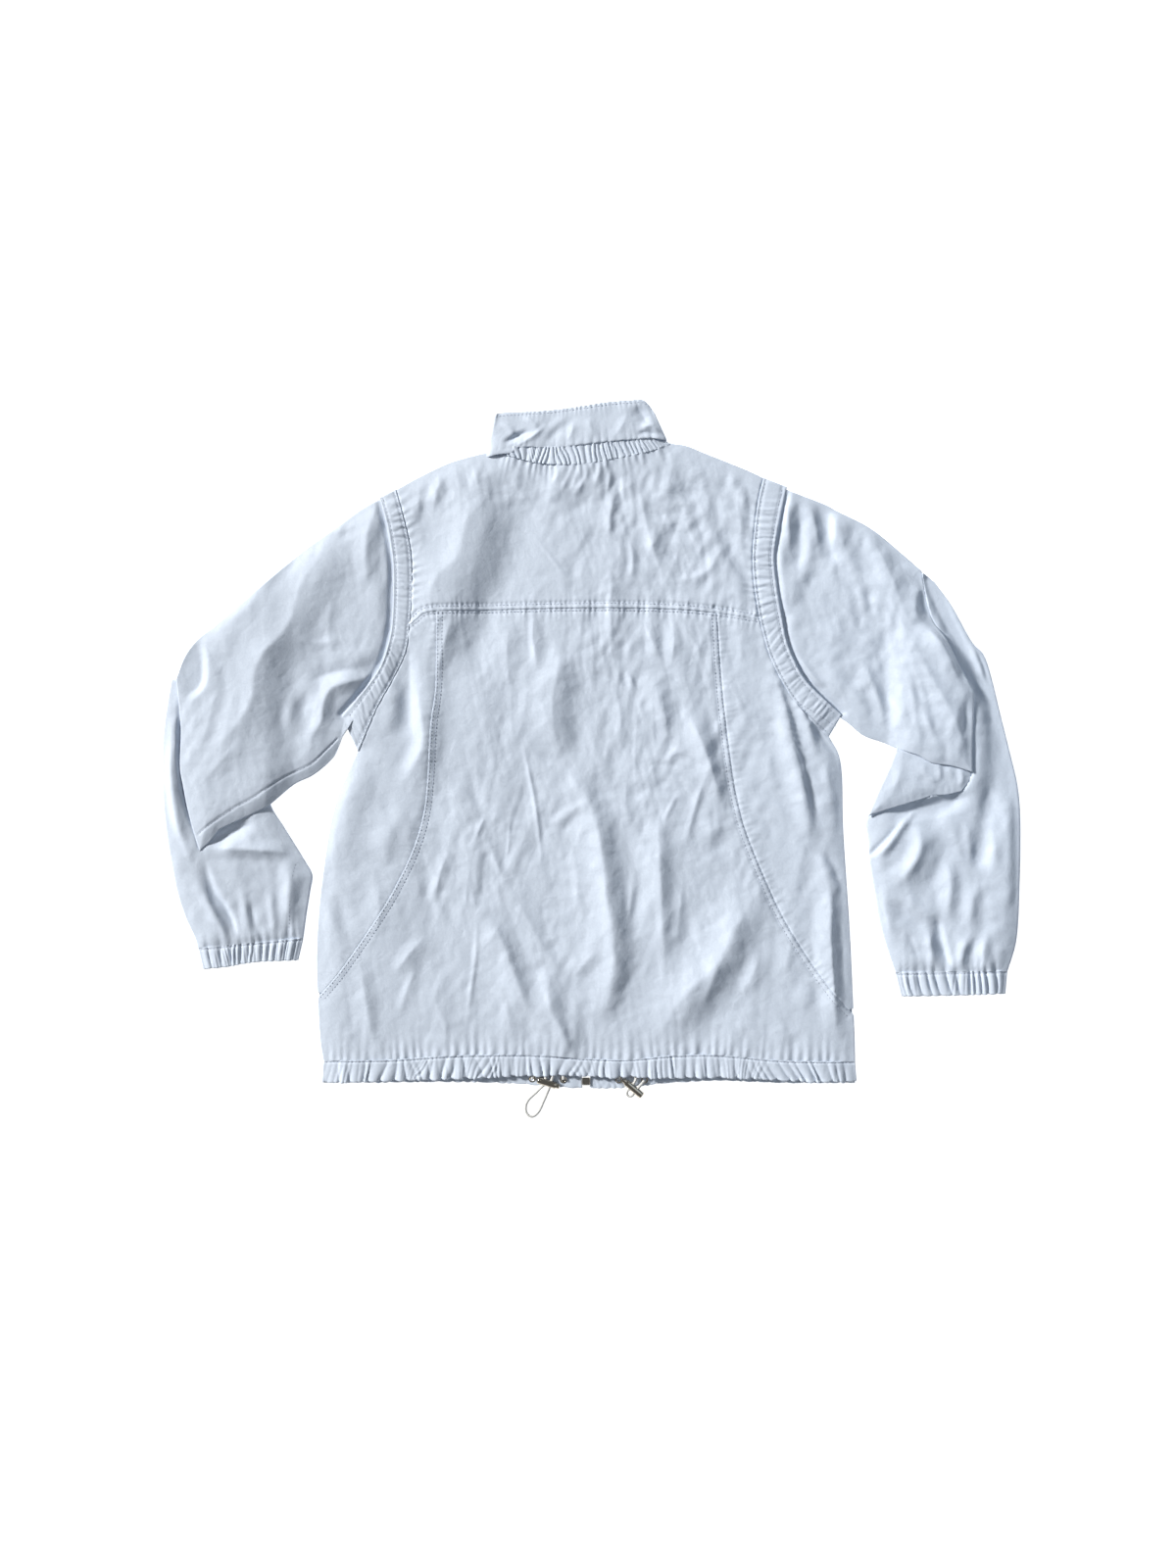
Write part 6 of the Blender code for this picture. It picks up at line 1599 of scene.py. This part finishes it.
def end_box():
    """The bevelled box at the foot of the zip, with a shallow panel sunk into its top."""
    x, y = ZIP_FOOT
    low, high = Vector((x - 4, y - 8, 0.25)), Vector((x + 4, y - 0.3, 3.5))
    mesh = bmesh.new()
    bmesh.ops.create_cube(mesh, size=1)
    bmesh.ops.scale(mesh, vec=high - low, verts=mesh.verts)
    bmesh.ops.translate(mesh, vec=(low + high) / 2, verts=mesh.verts)
    bmesh.ops.bevel(mesh, geom=mesh.edges[:], offset=0.45, segments=3, affect="EDGES")
    top = [face for face in mesh.faces if face.normal.z > 0.99 and face.calc_area() > 6]
    bmesh.ops.inset_region(mesh, faces=top, thickness=0.7, depth=-0.5)
    # Blender's bevel can number its faces differently from run to run, so all are put in order.
    mesh.verts.sort(key=lambda vert: place(vert.co))
    mesh.faces.sort(key=lambda face: place(face.calc_center_median()))
    mesh.verts.index_update()
    verts = [tuple(vert.co) for vert in mesh.verts]
    faces = [[vert.index for vert in face.verts] for face in mesh.faces]
    mesh.free()
    thing = piece("zip_end_box", verts, faces, NICKEL, ["zip_box"])
    thing.data.set_sharp_from_angle(angle=radians(30))


def zip_z(at_y):
    """The height of the zip, which climbs over the neck's seams."""
    return 1.9 + 2.6 * np.clip((at_y - 248) / 22, 0, 1)


end_box()
# a tape's outline across: distance from the middle of the zip and height; its inner edge has a bead
TAPE_LINE = [(2.75, -0.3), (2.75, 0.3), (3.55, 0.38), (4.35, 0.25), (10.85, 0.22), (10.85, -0.22)]
for side, sign in SIDES.items():
    rings = [[(zip_x(y) + sign * away, y, zip_z(y) + rise) for away, rise in TAPE_LINE]
             for y in np.linspace(-337.8, 287.5, 210)]
    closed_rings(f"zip_tape_{side}", rings, TAPE)

# a tooth, from its foot to its top: height and half width
TOOTH = ((-0.75, 0.5), (0.45, 0.62), (0.75, 0.42))
TOOTH_BACK, TOOTH_TIP, TIP_SHARE, TOOTH_PITCH = 0.9, 2.25, 0.85, 1.55
verts, faces = [], []
for index, y in enumerate(np.arange(-337.0, 280.0, TOOTH_PITCH)):
    sign = 1 if index % 2 else -1
    low, high = zip_x(y) - sign * TOOTH_BACK, zip_x(y) + sign * TOOTH_TIP
    start = len(verts)
    for rise, wide in TOOTH:
        for x, away in ((low, -wide), (high, -wide * TIP_SHARE), (high, wide * TIP_SHARE), (low, wide)):
            verts.append((x, y + away, zip_z(y) + rise))
    for ring in (start, start + 4):
        for step in range(4):
            following = ring + (step + 1) % 4
            faces.append((ring + step, following, following + 4, ring + step + 4))
    faces.append([start, start + 3, start + 2, start + 1])
    faces.append([start + 8, start + 9, start + 10, start + 11])
piece("zip_teeth", verts, faces, NICKEL, ["zip_chain"], smooth=False)
for name in ("zip_slider", "zip_pull"):
    materials = bpy.data.objects[name].data.materials
    for index in range(len(materials)):
        materials[index] = NICKEL

# ------------------------------------------------------------------ floor and light
FLOOR = 12
floor_mesh = bpy.data.meshes.new("floor")
floor_mesh.from_pydata([(-FLOOR, -FLOOR, 0), (FLOOR, -FLOOR, 0), (FLOOR, FLOOR, 0), (-FLOOR, FLOOR, 0)], [],
                       [(0, 1, 2, 3)])
floor = bpy.data.objects.new("floor", floor_mesh)
floor_mesh.materials.append(noded("white_floor", Base_Color=(0.93, 0.93, 0.92, 1), Roughness=0.9,
                                  Specular_IOR_Level=0.1, Emission_Color=(1, 1, 0.995, 1),
                                  Emission_Strength=0.8)[0])
bpy.context.scene.collection.objects.link(floor)

world = bpy.data.worlds.new("studio")
world.use_nodes = True
sky = world.node_tree.nodes["Background"]
sky.inputs["Color"].default_value = (0.94, 0.97, 1.0, 1)
sky.inputs["Strength"].default_value = 0.16
bpy.context.scene.world = world


def sun(name, azimuth, height, strength, angle, colour):
    """A sun from its azimuth, height and spread in degrees."""
    data = bpy.data.lights.new(name, "SUN")
    data.energy, data.angle, data.color = strength, radians(angle), colour
    thing = bpy.data.objects.new(name, data)
    turn, rise = radians(azimuth), radians(height)
    toward = Vector((cos(turn) * cos(rise), sin(turn) * cos(rise), sin(rise)))
    thing.rotation_euler = toward.to_track_quat("Z", "Y").to_euler()
    bpy.context.scene.collection.objects.link(thing)


sun("key", 150, 26, 5.4, 9, (1.0, 0.982, 0.948))
sun("fill", 20, 55, 0.25, 40, (0.92, 0.96, 1.0))
# a small cool window over the right sleeve
WINDOW_AT, WINDOW_AIM = Vector((0.62, 0.12, 0.55)), Vector((0.30, 0.05, 0))
window_data = bpy.data.lights.new("window", "AREA")
window_data.energy, window_data.size, window_data.color = 0.36, 0.35, (0.50, 0.74, 1.0)
window = bpy.data.objects.new("window", window_data)
window.location = WINDOW_AT
window.rotation_euler = (WINDOW_AT - WINDOW_AIM).to_track_quat("Z", "Y").to_euler()
bpy.context.scene.collection.objects.link(window)
bpy.context.scene.view_settings.view_transform = "Standard"
